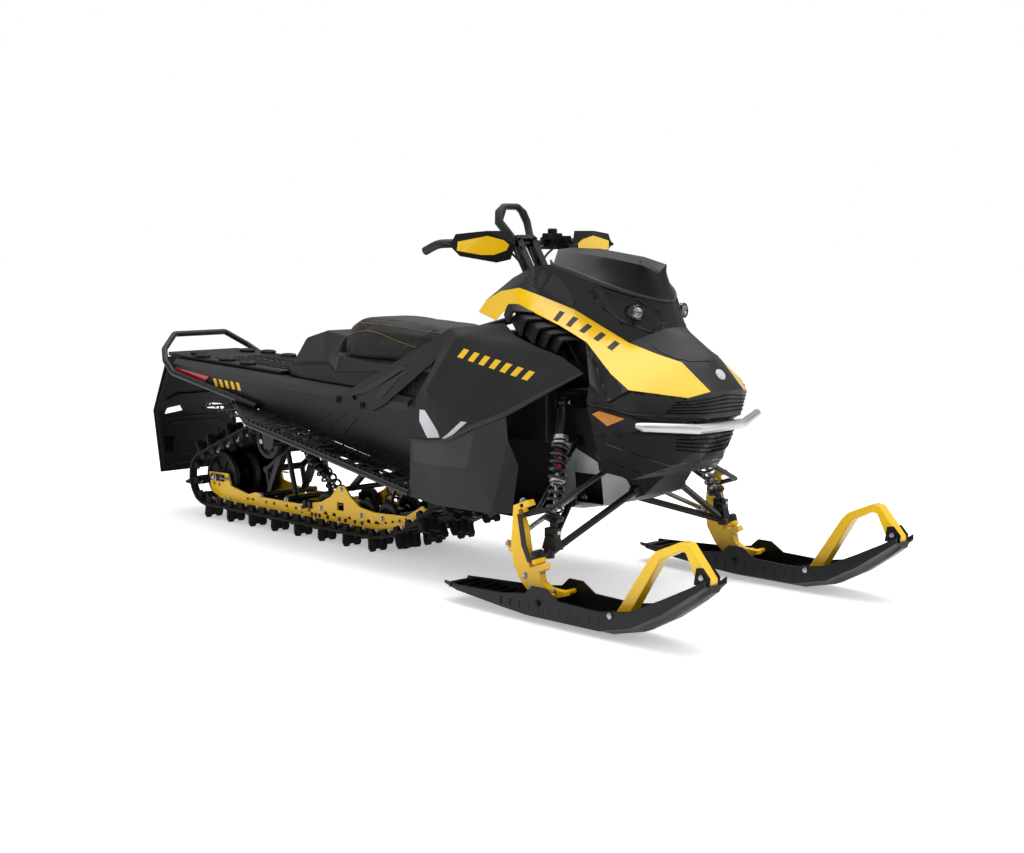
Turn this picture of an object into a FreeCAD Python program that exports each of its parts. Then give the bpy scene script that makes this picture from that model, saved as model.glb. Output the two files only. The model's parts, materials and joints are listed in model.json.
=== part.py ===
import FreeCAD, Part
import Sketcher
import math
import os
import re

# Snowmobile, in millimetres. X points forward, Y to the rider's left, Z up; the floor is z = 0.
# The origin lies under the middle of the machine.

doc = FreeCAD.newDocument("snowmobile")
Vec = FreeCAD.Vector

# ---------------------------------------------------------------- driving sizes

SIZES = {
    # shared fits
    "seat": 0.3, "wheelGap": 0.3, "pinClearance": 0.4, "faceClearance": 1.5,
    # track and the wheels that carry it
    "trackWidth": 381, "trackPitch": 72.6, "trackPitches": 51, "beltThick": 8,
    "lugHeight": 50.8, "lugThick": 12, "rearWheelRadius": 101, "rearAxleX": -1222,
    "upperWheelRadius": 70.5, "upperAxleX": -868, "upperAxleZ": 338, "upperAxleLength": 340,
    "driveAxleZ": 402, "sprocketRadius": 88.4, "noseStartX": -220, "noseRadius": 448,
    "wheelWidth": 26, "axleRadius": 10, "driveShaftRadius": 19,
    # slide rails and the arms between them
    "railY": 128, "railThick": 8, "railInside": 247.4, "sliderHeight": 12, "sliderWidth": 28,
    "smallWheelRadius": 55, "smallWheelY": 100, "skidArmY": 84, "skidTubeRadius": 13, "skidPinRadius": 10,
    "skidLegRadius": 12, "axleEnd": 10,
    "hangerThick": 6, "eyeWidth": 30, "eyeWall": 8,
    # tunnel and running boards
    "tunnelHalfWidth": 225, "tunnelSheet": 4, "tunnelRearX": -1391, "tunnelFrontX": 427.7,
    "tunnelRearTop": 632, "tunnelSlope": 2.2, "tunnelBevel": 28, "tunnelDepth": 420,
    "boardHalfWidth": 385, "boardRearX": -655, "boardRearZ": 442, "boardFrontX": 247,
    "boardSlope": 9.8, "boardSheet": 5, "boardTaper": 296, "edgeTubeRadius": 10,
    "slotInset": 40, "slotLength": 44, "slotWidth": 28, "slotPitch": 62,
    # rear end
    "bumperRadius": 12, "bumperStandoff": 8, "flapHalfWidth": 200, "flapSheet": 6, "lightThick": 5,
    "deckHalfWidth": 186, "deckThick": 14, "deckLength": 688,
    "anchorRear": 129, "anchorPitch": 305, "anchorHalf": 160, "anchorRadius": 6,
    # chassis front
    "strutThick": 10, "bulkheadX": 690, "engineX": 434, "engineWidth": 380, "engineZ": 472, "engineHeight": 262,
    "trayZ": 262, "trayHalfWidth": 346, "frameTubeRadius": 13, "bearingLength": 46, "capRadius": 38,
    # front suspension and steering
    "stance": 920, "casterAngle": 21, "kingpinX": 921, "kingpinZ": 176, "kingpinSpan": 133,
    "kingpinRadius": 8, "jointEyeRadius": 13, "armEyeHeight": 14, "armTubeRadius": 11, "upperArmRadius": 8,
    "innerEyeRadius": 14, "innerEyeWidth": 26, "bushInset": 3, "earThick": 5, "shockPinRadius": 6,
    "shockBodyRadius": 21, "springRadius": 31,
    "tieRodRadius": 8, "tiePinRadius": 5, "tieRodDrop": 17, "steeringArm": 126,
    "skiHalfWidth": 82, "skiWall": 7, "skiFloor": 9, "keelDepth": 12, "keelHalfWidth": 18,
    "skiBoltX": 1000, "skiBoltZ": 76, "spindleThick": 26, "loopWidth": 38,
    # handlebar
    "barRadius": 11, "barHalfWidth": 400, "barX": 398, "barZ": 1100, "postAngle": 32,
    "postRadius": 14, "postLength": 150, "postHalfApart": 34, "columnLength": 120, "strapRadius": 10,
    "blockLength": 46, "blockWidth": 100, "blockHeight": 30,
    # body panels
    "panelWall": 4, "lampX": 985, "lampY": 107, "lampZ": 894, "lampRadius": 24, "lampDepth": 30,
    "noseBarX": 1243, "noseBarZ": 559, "bumperBarRadius": 9, "ventY": 206, "bladeThick": 9, "bladeDepth": 30,
}

sheet = doc.addObject("Spreadsheet::Sheet", "sizes")
for row, (alias, value) in enumerate(SIZES.items(), start=1):
    sheet.set("A%d" % row, alias)
    sheet.set("B%d" % row, str(value))
    sheet.setAlias("B%d" % row, alias)
doc.recompute()


def size(alias):
    """A size as the sheet holds it."""
    return float(sheet.get(alias))


def formula(words):
    """Turns plain size names into references to the sheet."""
    return re.sub(r"[A-Za-z]\w*", lambda found: "sizes." + found.group(0)
                  if found.group(0) in SIZES else found.group(0), words)


# ---------------------------------------------------------------- ways of making a piece

finished = []


def finish(piece, label):
    piece.Label = label
    finished.append(piece)
    return piece


def outline(body, name, role, corners, offset="0"):
    """Closed straight-sided sketch; each corner is a pair of numbers or formulas."""
    sketch = body.newObject("Sketcher::SketchObject", name)
    plane = [feature for feature in body.Origin.OriginFeatures if feature.Role == role][0]
    sketch.AttachmentSupport = [(plane, "")]
    sketch.MapMode = "FlatFace"
    sketch.setExpression("AttachmentOffset.Base.z", formula(offset))
    rough = ring_of(len(corners))
    for index, start in enumerate(rough):
        sketch.addGeometry(Part.LineSegment(start, rough[(index + 1) % len(rough)]), False)
    for index in range(len(corners)):
        sketch.addConstraint(Sketcher.Constraint("Coincident", index, 2, (index + 1) % len(corners), 1))
    for index, (across, up) in enumerate(corners):
        for kind, words, guess in (("DistanceX", across, rough[index].x), ("DistanceY", up, rough[index].y)):
            number = sketch.addConstraint(Sketcher.Constraint(kind, -1, 1, index, 1, guess))
            sketch.setExpression("Constraints[%d]" % number, formula(str(words)))
    return sketch


def ring_of(count):
    return [Vec(100 * math.cos(2 * math.pi * step / count), 100 * math.sin(2 * math.pi * step / count), 0)
            for step in range(count)]


def circles(body, name, role, places, offset="0"):
    """Sketch of circles; each place is (across, up, radius)."""
    sketch = body.newObject("Sketcher::SketchObject", name)
    plane = [feature for feature in body.Origin.OriginFeatures if feature.Role == role][0]
    sketch.AttachmentSupport = [(plane, "")]
    sketch.MapMode = "FlatFace"
    sketch.setExpression("AttachmentOffset.Base.z", formula(offset))
    for index, (across, up, radius) in enumerate(places):
        sketch.addGeometry(Part.Circle(Vec(index * 50 + 1, 1, 0), Vec(0, 0, 1), 5), False)
        for kind, words in (("DistanceX", across), ("DistanceY", up)):
            number = sketch.addConstraint(Sketcher.Constraint(kind, -1, 1, index, 3, 1))
            sketch.setExpression("Constraints[%d]" % number, formula(str(words)))
        number = sketch.addConstraint(Sketcher.Constraint("Radius", index, 5))
        sketch.setExpression("Constraints[%d]" % number, formula(str(radius)))
    return sketch


def pad(body, sketch, length, symmetric=True):
    feature = body.newObject("PartDesign::Pad", body.Name + "_pad")
    feature.Profile = sketch
    feature.setExpression("Length", formula(length))
    feature.SideType = "Symmetric" if symmetric else "One side"
    body.Tip = feature
    return feature


def pocket(body, sketch, length):
    """Cuts both ways from the sketch."""
    doc.recompute()
    before = body.Shape.Volume
    feature = body.newObject("PartDesign::Pocket", body.Name + "_pocket")
    feature.Profile = sketch
    feature.setExpression("Length", formula(length))
    feature.SideType = "Symmetric"
    body.Tip = feature
    doc.recompute()
    if body.Shape.Volume >= before:
        raise RuntimeError(body.Name + ": the pocket cut nothing")
    return feature


def new_body(name):
    return doc.addObject("PartDesign::Body", name)


def plate(name, corners, thick, offset="0", cuts=(), holes=()):
    """Upright plate in the XZ plane; offset moves it to the right (-Y)."""
    body = new_body(name)
    pad(body, outline(body, name + "_outline", "XZ_Plane", corners, offset), thick)
    for number, cut in enumerate(cuts):
        pocket(body, outline(body, "%s_cut%d" % (name, number), "XZ_Plane", cut, offset), thick + " * 3")
    if holes:
        pocket(body, circles(body, name + "_holes", "XZ_Plane", holes, offset), thick + " * 3")
    return body


def compound(label, pieces):
    group = doc.addObject("Part::Compound", label)
    group.Links = pieces
    return finish(group, label)


def mirrored(piece, name):
    mirror = doc.addObject("Part::Mirroring", name)
    mirror.Source = piece
    mirror.Normal = Vec(0, 1, 0)
    return mirror


def both_sides(label, pieces):
    """One node that holds the right-hand solids and their left-hand mirror images."""
    return compound(label, pieces + [mirrored(piece, piece.Name + "_left") for piece in pieces])


def fused(name, pieces, refine=True):
    joined = doc.addObject("Part::MultiFuse", name)
    joined.Shapes = pieces
    joined.Refine = refine
    return joined


def across_cylinder(name, radius, length, x, z, y="0"):
    """Cylinder along Y, centred on y."""
    rod = doc.addObject("Part::Cylinder", name)
    rod.setExpression("Radius", formula(radius))
    rod.setExpression("Height", formula(length))
    rod.Placement = FreeCAD.Placement(Vec(), FreeCAD.Rotation(Vec(1, 0, 0), 90))
    rod.setExpression("Placement.Base.x", formula(x))
    rod.setExpression("Placement.Base.y", formula("(%s) + (%s) / 2" % (y, length)))
    rod.setExpression("Placement.Base.z", formula(z))
    return rod


def shape_piece(name, shape):
    piece = doc.addObject("Part::Feature", name)
    piece.Shape = shape
    piece.Placement = FreeCAD.Placement()
    return piece


def bent_wire(points, bend):
    """Straight runs joined by tangent arcs."""
    edges = []
    start = points[0]
    for before, corner, after in zip(points, points[1:], points[2:]):
        toward = (before - corner).normalize()
        away = (after - corner).normalize()
        half_turn = (math.pi - toward.getAngle(away)) / 2
        reach = bend * math.tan(half_turn)
        first = corner + toward * reach
        last = corner + away * reach
        bisector = (toward + away).normalize()
        middle = corner + bisector * (bend / math.cos(half_turn) - bend)
        edges.append(Part.makeLine(start, first))
        edges.append(Part.Arc(first, middle, last).toShape())
        start = last
    edges.append(Part.makeLine(start, points[-1]))
    return Part.Wire(edges)


def tube_shape(points, radius, bend=0):
    """Round bar along a bent line."""
    points = [Vec(*point) for point in points]
    wire = bent_wire(points, bend)
    profile = Part.Wire(Part.makeCircle(radius, points[0], points[1] - points[0]))
    return wire.makePipeShell([profile], True, False)


def rod_shape(start, end, radius):
    start, end = Vec(*start), Vec(*end)
    return Part.makeCylinder(radius, (end - start).Length, start, end - start)


def fuse_shapes(shapes):
    """One shape from several; stops if the join loses any of them."""
    joined = shapes[0].multiFuse(shapes[1:])
    merged = joined.removeSplitter()
    whole = merged if merged.isValid() else joined
    reach = whole.BoundBox
    reach.enlarge(1)
    for shape in shapes:
        if not reach.isInside(shape.BoundBox):
            raise RuntimeError("a piece was lost in a join")
    return whole


def skin_of(faces):
    solid = Part.Solid(Part.Shell(faces))
    if solid.Volume < 0:
        solid.reverse()
    return solid


def triangle(a, b, c):
    return Part.Face(Part.makePolygon([a, b, c, a]))


def rings_solid(rings):
    """Solid through rings of equal length; its two end rings are flat."""
    rings = [[Vec(*point) for point in ring] for ring in rings]
    faces = [Part.Face(Part.makePolygon(ring + ring[:1])) for ring in (rings[0], rings[-1])]
    for ring, following in zip(rings, rings[1:]):
        for index in range(len(ring)):
            after = (index + 1) % len(ring)
            faces.append(triangle(ring[index], ring[after], following[after]))
            faces.append(triangle(ring[index], following[after], following[index]))
    return skin_of(faces)


def vertex_normals(points, triangles):
    """Mean outward direction at each named corner of a folded sheet."""
    normals = {name: Vec() for name in points}
    for a, b, c in triangles:
        across = (points[b] - points[a]).cross(points[c] - points[a])
        for name in (a, b, c):
            normals[name] = normals[name] + across
    return {name: Vec(total).normalize() for name, total in normals.items() if total.Length > 0}


def folded_panel(points, normals, triangles, wall):
    """Sheet of flat triangles given a wall inwards from its named corners."""
    outer = {name: points[name] for face in triangles for name in face}
    inner = {name: outer[name] - normals[name] * wall for name in outer}
    faces = []
    sides = {}
    for a, b, c in triangles:
        faces.append(triangle(outer[a], outer[b], outer[c]))
        faces.append(triangle(inner[a], inner[c], inner[b]))
        for pair in ((a, b), (b, c), (c, a)):
            if pair[::-1] in sides:
                del sides[pair[::-1]]
            else:
                sides[pair] = True
    for a, b in sides:
        if a < b:
            faces.append(triangle(outer[b], outer[a], inner[b]))
            faces.append(triangle(outer[a], inner[a], inner[b]))
        else:
            faces.append(triangle(outer[b], outer[a], inner[a]))
            faces.append(triangle(outer[b], inner[a], inner[b]))
    return skin_of(faces)


def split_quads(cells):
    """Corner names in threes, from cells of three or four."""
    triangles = []
    for cell in cells:
        names = cell.split()
        triangles.append(tuple(names[:3]))
        if len(names) == 4:
            triangles.append((names[0], names[2], names[3]))
    return triangles


# ---------------------------------------------------------------- track

def track_loop():
    """Wheels that shape the belt, as (x, z, inner belt radius), with the drive axle's place solved
    so that the belt is a whole number of pitches long."""
    floor = size("lugHeight") + size("beltThick")
    rear = (size("rearAxleX"), floor + size("rearWheelRadius"), size("rearWheelRadius"))
    nose = (size("noseStartX"), floor + size("noseRadius"), size("noseRadius"))
    upper = (size("upperAxleX"), size("upperAxleZ"), size("upperWheelRadius"))
    wanted = size("trackPitch") * size("trackPitches")
    low, high = size("noseStartX") + size("noseRadius") / 2, size("noseStartX") + size("noseRadius") * 2
    for _ in range(60):
        middle = (low + high) / 2
        loop = [rear, nose, (middle, size("driveAxleZ"), size("sprocketRadius")), upper]
        if loop_length(loop, size("beltThick") / 2) < wanted:
            low = middle
        else:
            high = middle
    return loop


def loop_headings(loop):
    """Heading of each straight run, from one wheel to the next, round the loop."""
    headings = []
    for (x1, z1, r1), (x2, z2, r2) in zip(loop, loop[1:] + loop[:1]):
        distance = math.hypot(x2 - x1, z2 - z1)
        heading = math.atan2(z2 - z1, x2 - x1) + math.asin((r1 - r2) / distance)
        headings.append(heading % (2 * math.pi) if headings else heading)
    return headings


def wheel_point(wheel, heading, out):
    x, z, radius = wheel
    return x + (radius + out) * math.sin(heading), z - (radius + out) * math.cos(heading)


def loop_pieces(loop, out):
    """Arcs and runs in order, as (kind, wheel, start heading, end heading, start point, end point)."""
    headings = loop_headings(loop)
    pieces = []
    for index, wheel in enumerate(loop):
        arriving, leaving = headings[index - 1], headings[index]
        if leaving < arriving:
            leaving += 2 * math.pi
        pieces.append(("arc", wheel, arriving, leaving,
                       wheel_point(wheel, arriving, out), wheel_point(wheel, leaving, out)))
        following = loop[(index + 1) % len(loop)]
        pieces.append(("run", wheel, leaving, leaving,
                       wheel_point(wheel, leaving, out), wheel_point(following, leaving, out)))
    return pieces


def piece_length(piece, out):
    kind, wheel, arriving, leaving, start, end = piece
    if kind == "arc":
        return (wheel[2] + out) * (leaving - arriving)
    return math.hypot(end[0] - start[0], end[1] - start[1])


def loop_length(loop, out):
    return sum(piece_length(piece, out) for piece in loop_pieces(loop, out))


def loop_wire(loop, out):
    edges = []
    for kind, wheel, arriving, leaving, start, end in loop_pieces(loop, out):
        first, last = Vec(start[0], 0, start[1]), Vec(end[0], 0, end[1])
        if kind == "run":
            edges.append(Part.makeLine(first, last))
        else:
            x, z = wheel_point(wheel, (arriving + leaving) / 2, out)
            edges.append(Part.Arc(first, Vec(x, 0, z), last).toShape())
    return Part.Wire(edges)


def lug_places(loop):
    """Foot of each lug on the belt's outer face, with the belt's heading there."""
    out = size("beltThick")
    pieces = loop_pieces(loop, out)
    total = sum(piece_length(piece, out) for piece in pieces)
    count = int(size("trackPitches"))
    places = []
    for number in range(count):
        travel = total * (number + 0.5) / count
        for piece in pieces:
            span = piece_length(piece, out)
            if travel <= span:
                break
            travel -= span
        kind, wheel, arriving, leaving, start, end = piece
        share = travel / span
        if kind == "arc":
            heading = arriving + (leaving - arriving) * share
            places.append((wheel_point(wheel, heading, out), heading))
        else:
            foot = (start[0] + (end[0] - start[0]) * share, start[1] + (end[1] - start[1]) * share)
            places.append((foot, arriving))
    return places


LOOP = track_loop()
DRIVE_X = LOOP[2][0]
REAR_AXLE_Z = LOOP[0][1]


def make_track():
    width = size("trackWidth")
    outer = Part.Face(loop_wire(LOOP, size("beltThick")))
    inner = Part.Face(loop_wire(LOOP, 0))
    belt = outer.cut(inner).extrude(Vec(0, width, 0))
    belt.translate(Vec(0, -width / 2, 0))
    lugs = []
    root = size("beltThick") / 2
    for (x, z), heading in lug_places(LOOP):
        lug = Part.makeBox(size("lugThick"), width, size("lugHeight") + root,
                           Vec(-size("lugThick") / 2, -width / 2, -size("lugHeight")))
        lug.rotate(Vec(), Vec(0, 1, 0), -math.degrees(heading))
        lug.translate(Vec(x, 0, z))
        lugs.append(lug)
    finish(shape_piece("track", belt.fuse(lugs)), "track")


make_track()

# ---------------------------------------------------------------- skid frame inside the track

def fused_wheels(name, shaft, wheels):
    """Shaft with its wheels; each wheel is (radius, distance across)."""
    radius, length, x, z = shaft
    parts = [across_cylinder(name + "_shaft", radius, length, x, z)]
    for number, (wheel_radius, across) in enumerate(wheels):
        parts.append(across_cylinder("%s_wheel%d" % (name, number), wheel_radius, "wheelWidth", x, z, across))
    return fused(name, parts)


REAR_AXLE = "lugHeight + beltThick + rearWheelRadius"
TUNNEL_INSIDE = "tunnelHalfWidth * 2 - tunnelSheet * 2"


def make_wheels():
    rear = "rearWheelRadius - wheelGap"
    rear_length = "(railY + railThick + axleEnd) * 2"
    finish(fused_wheels("rear_axle", ("axleRadius", rear_length, "rearAxleX", REAR_AXLE),
                        [(rear, "0 - smallWheelY"), (rear, "0"), (rear, "smallWheelY")]), "rear_axle")
    upper = "upperWheelRadius - wheelGap"
    finish(fused_wheels("upper_idler", ("axleRadius", "upperAxleLength", "upperAxleX", "upperAxleZ"),
                        [(upper, "0 - railY"), (upper, "railY")]), "upper_idler")
    sprocket = "sprocketRadius - wheelGap"
    finish(fused_wheels("drive_axle", ("driveShaftRadius", TUNNEL_INSIDE, str(DRIVE_X), "driveAxleZ"),
                        [(sprocket, "0 - railY / 2"), (sprocket, "railY / 2")]), "drive_axle")
    small = []
    for number, x in enumerate(SMALL_AXLES):
        lift = "lugHeight + beltThick + smallWheelRadius + wheelGap + %s" % SMALL_AXLES[x]
        small.append(fused_wheels("small_axle%d" % number, ("axleRadius", "railInside", str(x), lift),
                                  [("smallWheelRadius", "0 - smallWheelY"), ("smallWheelRadius", "smallWheelY")]))
    compound("idler_wheels", small)


# Small wheels' axles: place along, and how far the belt has risen there
SMALL_AXLES = {-545: 0, -310: 0, -190: 2}
make_wheels()

RAIL_BOTTOM = "lugHeight + beltThick + sliderHeight"
# Rail's upper edge from the rear: (x, height above the slider)
RAIL_TOP = [(-1274, 106), (-1147, 110), (-1128, 62), (-1010, 42), (-968, 54), (-938, 54), (-913, 41),
            (-681, 42), (-546, 66), (-488, 92), (-440, 138), (-408, 138), (-372, 102), (-319, 72),
            (-236, 62), (-60, 70), (28, 118)]
RAIL_HEEL = [(-1120, 0), (-1200, 8), (-1262, 30)]
NOSE_STATIONS = [52, -40, -140]
RAIL_WINDOW = [(-452, 76), (-412, 76), (-412, 46), (-452, 46)]
# Round holes through the rail: (x, height above the slider, radius)
RAIL_HOLES = [(-1240, 62, 7), (-1206, 60, 7), (-980, 23, 9), (-840, 23, 9), (-760, 23, 9),
              (-620, 23, 9), (-380, 23, 9), (-520, 22, 12), (-470, 22, 12), (-270, 22, 12), (-225, 22, 12)]


def make_rails():
    def above_slider(x, height):
        return x, "%s + %s" % (RAIL_BOTTOM, height)

    def on_belt(x, height):
        """Height over the belt where it curves up at the nose."""
        bend = "sqrt(noseRadius ^ 2 - (%s - noseStartX) ^ 2)" % x
        return x, "lugHeight + beltThick + noseRadius - %s + %s" % (bend, height)

    corners = [above_slider(x, height) for x, height in RAIL_TOP]
    corners += [on_belt(x, "sliderHeight") for x in NOSE_STATIONS]
    corners += [above_slider("noseStartX", 0)] + [above_slider(x, height) for x, height in RAIL_HEEL]
    half_slot = "(axleRadius + wheelGap)"
    slot = [("rearAxleX - 28", "%s - %s" % (REAR_AXLE, half_slot)),
            ("rearAxleX + 52", "%s - %s" % (REAR_AXLE, half_slot)),
            ("rearAxleX + 52", "%s + %s" % (REAR_AXLE, half_slot)),
            ("rearAxleX - 28", "%s + %s" % (REAR_AXLE, half_slot))]
    window = [above_slider(x, height) for x, height in RAIL_WINDOW]
    holes = [above_slider(x, height) + (radius,) for x, height, radius in RAIL_HOLES]
    both_sides("slide_rails", [plate("rail_right", corners, "railThick", "railY", [window, slot], holes)])

    strip = [(-1150, "lugHeight + beltThick"), ("noseStartX", "lugHeight + beltThick")]
    strip += [on_belt(x, "0") for x in reversed(NOSE_STATIONS)]
    strip += [on_belt(x, "sliderHeight") for x in NOSE_STATIONS]
    strip += [above_slider("noseStartX", 0), above_slider(-1150, 0)]
    both_sides("rail_sliders", [plate("slider_right", strip, "sliderWidth", "railY")])


make_rails()

# Places in the skid frame: (x, z)
ARM_PIVOT = (-752, 345)
KNUCKLE = (-945, 214)
REAR_SHOCK_TOP = (-812, 304)
FRONT_PIVOT = (-190, 396)
RAIL_PEAK = (-424, 196)


def axle_place(x):
    return x, size("lugHeight") + size("beltThick") + size("smallWheelRadius") + size("wheelGap") + SMALL_AXLES[x]


def across_rod(place, half, radius):
    x, z = place
    return rod_shape((x, -half, z), (x, half, z), radius)


def pair_of_rods(start, end, across, radius):
    return [rod_shape((start[0], side * across, start[1]), (end[0], side * across, end[1]), radius)
            for side in (-1, 1)]


def sleeve_hole(place, half, radius):
    return across_rod(place, half, radius + size("seat"))


def make_skid_arms():
    rails_apart = size("railInside") / 2
    hanger_inside = size("tunnelHalfWidth") - size("tunnelSheet") - size("hangerThick") - size("seat") * 2
    tube, pin, arm_y = size("skidTubeRadius"), size("skidPinRadius"), size("skidArmY")
    idler = (size("upperAxleX"), size("upperAxleZ"))
    rear = [across_rod(ARM_PIVOT, hanger_inside, tube), across_rod(KNUCKLE, arm_y + pin, tube),
            across_rod(REAR_SHOCK_TOP, arm_y, pin)]
    rear += pair_of_rods(ARM_PIVOT, KNUCKLE, arm_y, size("skidLegRadius"))
    rear += pair_of_rods(ARM_PIVOT, idler, arm_y, pin)
    rear += pair_of_rods(KNUCKLE, (-922, 118), arm_y, pin) + pair_of_rods(REAR_SHOCK_TOP, (-760, 122), arm_y, pin)
    rear += [across_rod((-922, 118), rails_apart, pin), across_rod((-760, 122), rails_apart, pin)]
    arm = fuse_shapes(rear).cut(sleeve_hole(idler, rails_apart, size("axleRadius")))
    finish(shape_piece("rear_arm", arm), "rear_arm")

    tunnel_inside = size("tunnelHalfWidth") - size("tunnelSheet") - size("seat")
    front = [across_rod(FRONT_PIVOT, tunnel_inside, tube), across_rod(RAIL_PEAK, rails_apart, pin)]
    front += pair_of_rods(FRONT_PIVOT, RAIL_PEAK, arm_y, tube)
    finish(shape_piece("front_arm", fuse_shapes(front)), "front_arm")

    x, z = ARM_PIVOT
    corners = [(x - 60, z + 150), (x + 60, z + 124), (x + 26, z - 18), (x, z - 26), (x - 26, z - 18)]
    hanger = plate("hanger_right", corners, "hangerThick",
                   "tunnelHalfWidth - tunnelSheet - hangerThick / 2 - seat")
    both_sides("skid_hangers", [hanger])


def coil_over(bottom, top, spring_radius, body_radius, pin_axis, pin_radius):
    """Shock as a damper with its spring's envelope and an eye round a pin at each end."""
    bottom, top, pin_axis = Vec(*bottom), Vec(*top), Vec(*pin_axis)
    along = (top - bottom)
    length = along.Length
    along.normalize()
    parts = [Part.makeCylinder(pin_radius, length, bottom, along),
             Part.makeCylinder(spring_radius, length * 0.62, bottom + along * length * 0.14, along),
             Part.makeCylinder(body_radius, length * 0.82, bottom + along * length * 0.1, along)]
    half = size("eyeWidth") / 2
    for end in (bottom, top):
        parts.append(Part.makeCylinder(pin_radius + size("eyeWall"), half * 2, end - pin_axis * half, pin_axis))
    shock = fuse_shapes(parts)
    for end in (bottom, top):
        shock = shock.cut(Part.makeCylinder(pin_radius + size("seat"), half * 4, end - pin_axis * half * 2, pin_axis))
    return shock


def make_skid_shocks():
    front_low, rear_low = axle_place(-310), axle_place(-545)
    axle, pin, tube = size("axleRadius"), size("skidPinRadius"), size("skidTubeRadius")
    front = coil_over((front_low[0], 0, front_low[1]), (FRONT_PIVOT[0], 0, FRONT_PIVOT[1]), 32, 22, (0, 1, 0), tube)
    rear = coil_over((rear_low[0], 0, rear_low[1]), (REAR_SHOCK_TOP[0], 0, REAR_SHOCK_TOP[1]), 30, 21, (0, 1, 0), axle)
    compound("skid_shocks", [shape_piece("front_skid_shock", front), shape_piece("rear_skid_shock", rear)])


make_skid_arms()
make_skid_shocks()

# ---------------------------------------------------------------- tunnel, boards, rear end

def tunnel_top(x):
    return size("tunnelRearTop") - (x - size("tunnelRearX")) * math.tan(math.radians(size("tunnelSlope")))


def board_height(x):
    return size("boardRearZ") - (x - size("boardRearX")) * math.tan(math.radians(size("boardSlope")))


def on_tunnel(x, z):
    """A place given along and above the floor, as formulas along and across the sloping tunnel."""
    lean = "(tunnelSlope * 1 deg)"
    forward, up = "(%s - tunnelRearX)" % x, "(%s - tunnelRearTop)" % z
    return ("%s * cos%s - %s * sin%s" % (forward, lean, up, lean),
            "%s * sin%s + %s * cos%s" % (forward, lean, up, lean))


# Holes for load anchors, bored straight down through the deck and the tunnel's top: distance from the
# tunnel's rear edge, and the side they are on
ANCHOR_PLACES = [("anchorRear", "0 - "), ("anchorRear", ""), ("anchorRear + anchorPitch", "0 - "),
                 ("anchorRear + anchorPitch", "")]


def bored_for_anchors(name, body):
    bores = []
    for number, (along, side) in enumerate(ANCHOR_PLACES):
        bore = doc.addObject("Part::Cylinder", "%s_bore%d" % (name, number))
        bore.setExpression("Radius", formula("anchorRadius"))
        bore.setExpression("Height", formula("deckThick * 8"))
        bore.setExpression("Placement.Base.x", formula("tunnelRearX + " + along))
        bore.setExpression("Placement.Base.y", formula(side + "anchorHalf"))
        bore.setExpression("Placement.Base.z", formula("tunnelRearTop - deckThick * 6"))
        bores.append(bore)
    drilled = doc.addObject("Part::Cut", name)
    drilled.Base = body
    drilled.Tool = fused(name + "_bores", bores, False)
    return drilled


def make_tunnel():
    """Folded sheet with bevelled shoulders, cut to the boards' line along its lower edge."""
    body = new_body("tunnel_sheet")
    inset = "(tunnelSheet * 0.41)"
    half = [("tunnelHalfWidth - tunnelBevel", "0"), ("tunnelHalfWidth", "0 - tunnelBevel"),
            ("tunnelHalfWidth", "0 - tunnelDepth"), ("tunnelHalfWidth - tunnelSheet", "0 - tunnelDepth"),
            ("tunnelHalfWidth - tunnelSheet", "0 - tunnelBevel - " + inset),
            ("tunnelHalfWidth - tunnelBevel - " + inset, "0 - tunnelSheet")]
    corners = half + [("0 - (%s)" % across, up) for across, up in reversed(half)]
    pad(body, outline(body, "tunnel_section", "YZ_Plane", corners),
        "(tunnelFrontX - tunnelRearX) / cos(tunnelSlope * 1 deg)", False)
    board_front = "(boardRearZ - (tunnelFrontX + 60 - boardRearX) * tan(boardSlope * 1 deg))"
    under = [on_tunnel("(tunnelRearX - 20)", "(tunnelRearTop - 40)"),
             on_tunnel("(tunnelRearX + 31)", "(tunnelRearTop - 60)"),
             on_tunnel("boardRearX", "boardRearZ"), on_tunnel("(tunnelFrontX + 60)", board_front),
             on_tunnel("(tunnelFrontX + 60)", "(0 - 200)"), on_tunnel("(tunnelRearX - 20)", "(0 - 200)")]
    pocket(body, outline(body, "tunnel_under", "XZ_Plane", under), "tunnelHalfWidth * 3")
    body.Placement = FreeCAD.Placement(Vec(), FreeCAD.Rotation(Vec(0, 1, 0), size("tunnelSlope")))
    body.setExpression("Placement.Base.x", formula("tunnelRearX"))
    body.setExpression("Placement.Base.z", formula("tunnelRearTop"))
    finish(bored_for_anchors("tunnel", body), "tunnel")


make_tunnel()


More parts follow.
